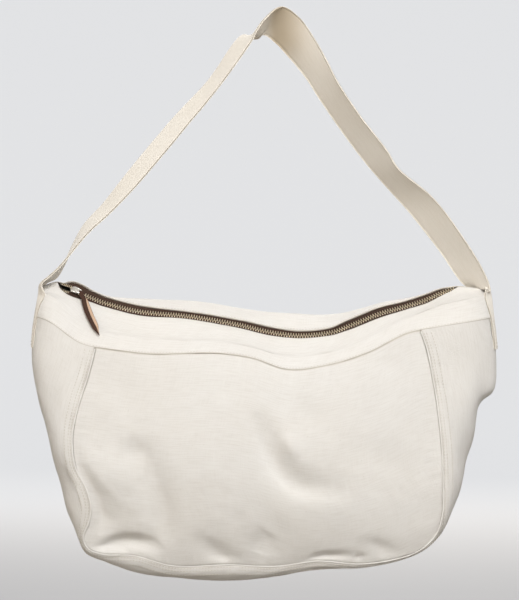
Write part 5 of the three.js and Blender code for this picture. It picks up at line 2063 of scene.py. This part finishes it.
@dataclass(frozen=True)
class StudioFinish:
    """Plain pale matt surface of the floor, barely uneven, with painted light: a glow that only the
    camera sees.
    """

    name: str = "pale_studio"
    colour: Colour = (0.27, 0.25, 0.225, 1)
    shade: Colour = (0.255, 0.235, 0.21, 1)
    # Painted light: the wall glows for the camera as if lit, and the floor's weaker glow is painted
    # shade
    glow: Colour = (0.645, 0.665, 0.695, 1)
    floor_glow: Colour = (0.19, 0.215, 0.255, 1)
    # Squared distances from the middle between which the floor's glow turns into the wall's
    glow_from: float = 2.5
    glow_to: float = 19.0
    unevenness: float = 0.05
    roughness: float = 0.9

    def material(self, effects: Effects) -> Material:
        """Build the floor's material, which glows only where it is looked at.

        Args:
            effects: The shared shader groups.

        Returns:
            The material.
        """
        made, bench, shader = new_material(
            self.name, Specular_IOR_Level=0.1, Emission_Strength=1.0)
        looked = bench.add("ShaderNodeLightPath").outputs["Is Camera Ray"]
        place = bench.place()
        axes = bench.add("ShaderNodeSeparateXYZ", {"Vector": place}).outputs
        away = bench.math("ADD", bench.times(axes["X"], axes["X"]),
                          bench.times(axes["Y"], axes["Y"]))
        glow = bench.blend(bench.ramp(away, self.glow_from, self.glow_to),
                           self.floor_glow, self.glow)
        clouds, grain = (bench.times(bench.noise(place, scale), self.unevenness)
                         for scale in (0.8, 3))
        bench.feed(shader, {
            "Emission Color": bench.blend(looked, (0, 0, 0, 1), glow),
            "Base Color": bench.blend(clouds, self.colour, self.shade),
            "Roughness": bench.math("ADD", grain, self.roughness)})
        return made


@dataclass
class Studio:
    """Camera, lights and the pale floor that rises to a distant wall."""

    wardrobe: Wardrobe
    camera_place: tuple = (-0.0162, -2.5, -0.3348)
    lens: float = 125.0
    sensor: float = 36.0
    clipping: tuple[float, float] = (0.05, 60)
    floor_height: float = -0.95
    floor_radius: float = 6.5
    floor_corners: int = 96
    wall_bend: float = 2.5
    wall_height: float = 6.0
    # Columns: name, place, size, power, colour
    lamps: tuple = (
        ("key_light", (0.35, -2.15, 1.3), 1.3, 70, (0.99, 0.995, 1.0)),
        ("left_fill", (-2.6, -1.7, -0.3), 1.8, 40, (1.0, 0.94, 0.86)),
        ("right_fill", (2.8, -1.9, 0.4), 1.8, 32, (0.99, 0.995, 1.0)),
        ("back_light", (0.3, 3.4, 1.2), 2.0, 95, (1.0, 0.99, 0.97)),
    )
    lamp_aim: tuple = (0, 0, -0.35)
    sky: Colour = (1.0, 0.96, 0.91, 1)
    sky_strength: float = 0.55

    def build(self) -> None:
        """Set up the whole studio, in plain display colours."""
        bpy.context.scene.view_settings.view_transform = "Standard"
        self.camera()
        self.floor()
        self.lights()

    def camera(self) -> None:
        """Camera straight in front of the bag, at the photograph's distance."""
        data = bpy.data.cameras.new("studio_camera")
        data.lens, data.sensor_width = self.lens, self.sensor
        data.clip_start, data.clip_end = self.clipping
        made = bpy.data.objects.new("studio_camera", data)
        made.location = self.camera_place
        made.rotation_euler = (math.radians(90), 0, 0)
        bpy.context.scene.collection.objects.link(made)
        bpy.context.scene.camera = made

    def floor(self) -> None:
        """Round floor that curves up to a wall all the way round."""
        steps = np.linspace(0, math.pi / 2, 16)
        flat = self.floor_radius - self.wall_bend
        radii = [0.0, flat / 3, flat * 2 / 3, *(flat + self.wall_bend * np.sin(steps)),
                 self.floor_radius]
        heights = [0.0, 0.0, 0.0, *(self.wall_bend * (1 - np.cos(steps))), self.wall_height]
        angle = full_turn(self.floor_corners)
        points = [np.stack([radius * np.cos(angle), radius * np.sin(angle),
                            np.full(len(angle), self.floor_height + height)], axis=-1)
                  for radius, height in zip(radii, heights)]
        quads = ring_faces(len(radii), self.floor_corners)
        floor = make_object("studio_floor", np.concatenate(points) / MILLIMETRE, quads[:, ::-1])
        self.wardrobe.dress(floor, StudioFinish())

    def lights(self) -> None:
        """Soft light from above and in front, weaker from the lower left."""
        for name, place, size, power, colour in self.lamps:
            data = bpy.data.lights.new(name, "AREA")
            data.size, data.energy, data.color = size, power, colour
            made = bpy.data.objects.new(name, data)
            made.location = place
            aim = Vector(self.lamp_aim) - Vector(place)
            made.rotation_euler = aim.to_track_quat("-Z", "Y").to_euler()
            bpy.context.scene.collection.objects.link(made)
        world = bpy.data.worlds.new("studio_world")
        world.use_nodes = True
        background = world.node_tree.nodes["Background"]
        background.inputs["Color"].default_value = self.sky
        background.inputs["Strength"].default_value = self.sky_strength
        bpy.context.scene.world = world


def main() -> None:
    """Build the bag and its studio."""
    logging.basicConfig(level=logging.INFO, format="%(name)s: %(message)s")
    form, wardrobe = BagForm(), Wardrobe()
    Studio(wardrobe).build()
    for assembly in (Body(form, wardrobe), TopBand(form, wardrobe), ZipClosure(form, wardrobe),
                     ShoulderStrap(form, wardrobe)):
        pieces = assembly.build()
        LOG.info("%s: %d pieces", type(assembly).__name__, len(pieces))


if __name__ == "__main__":
    main()
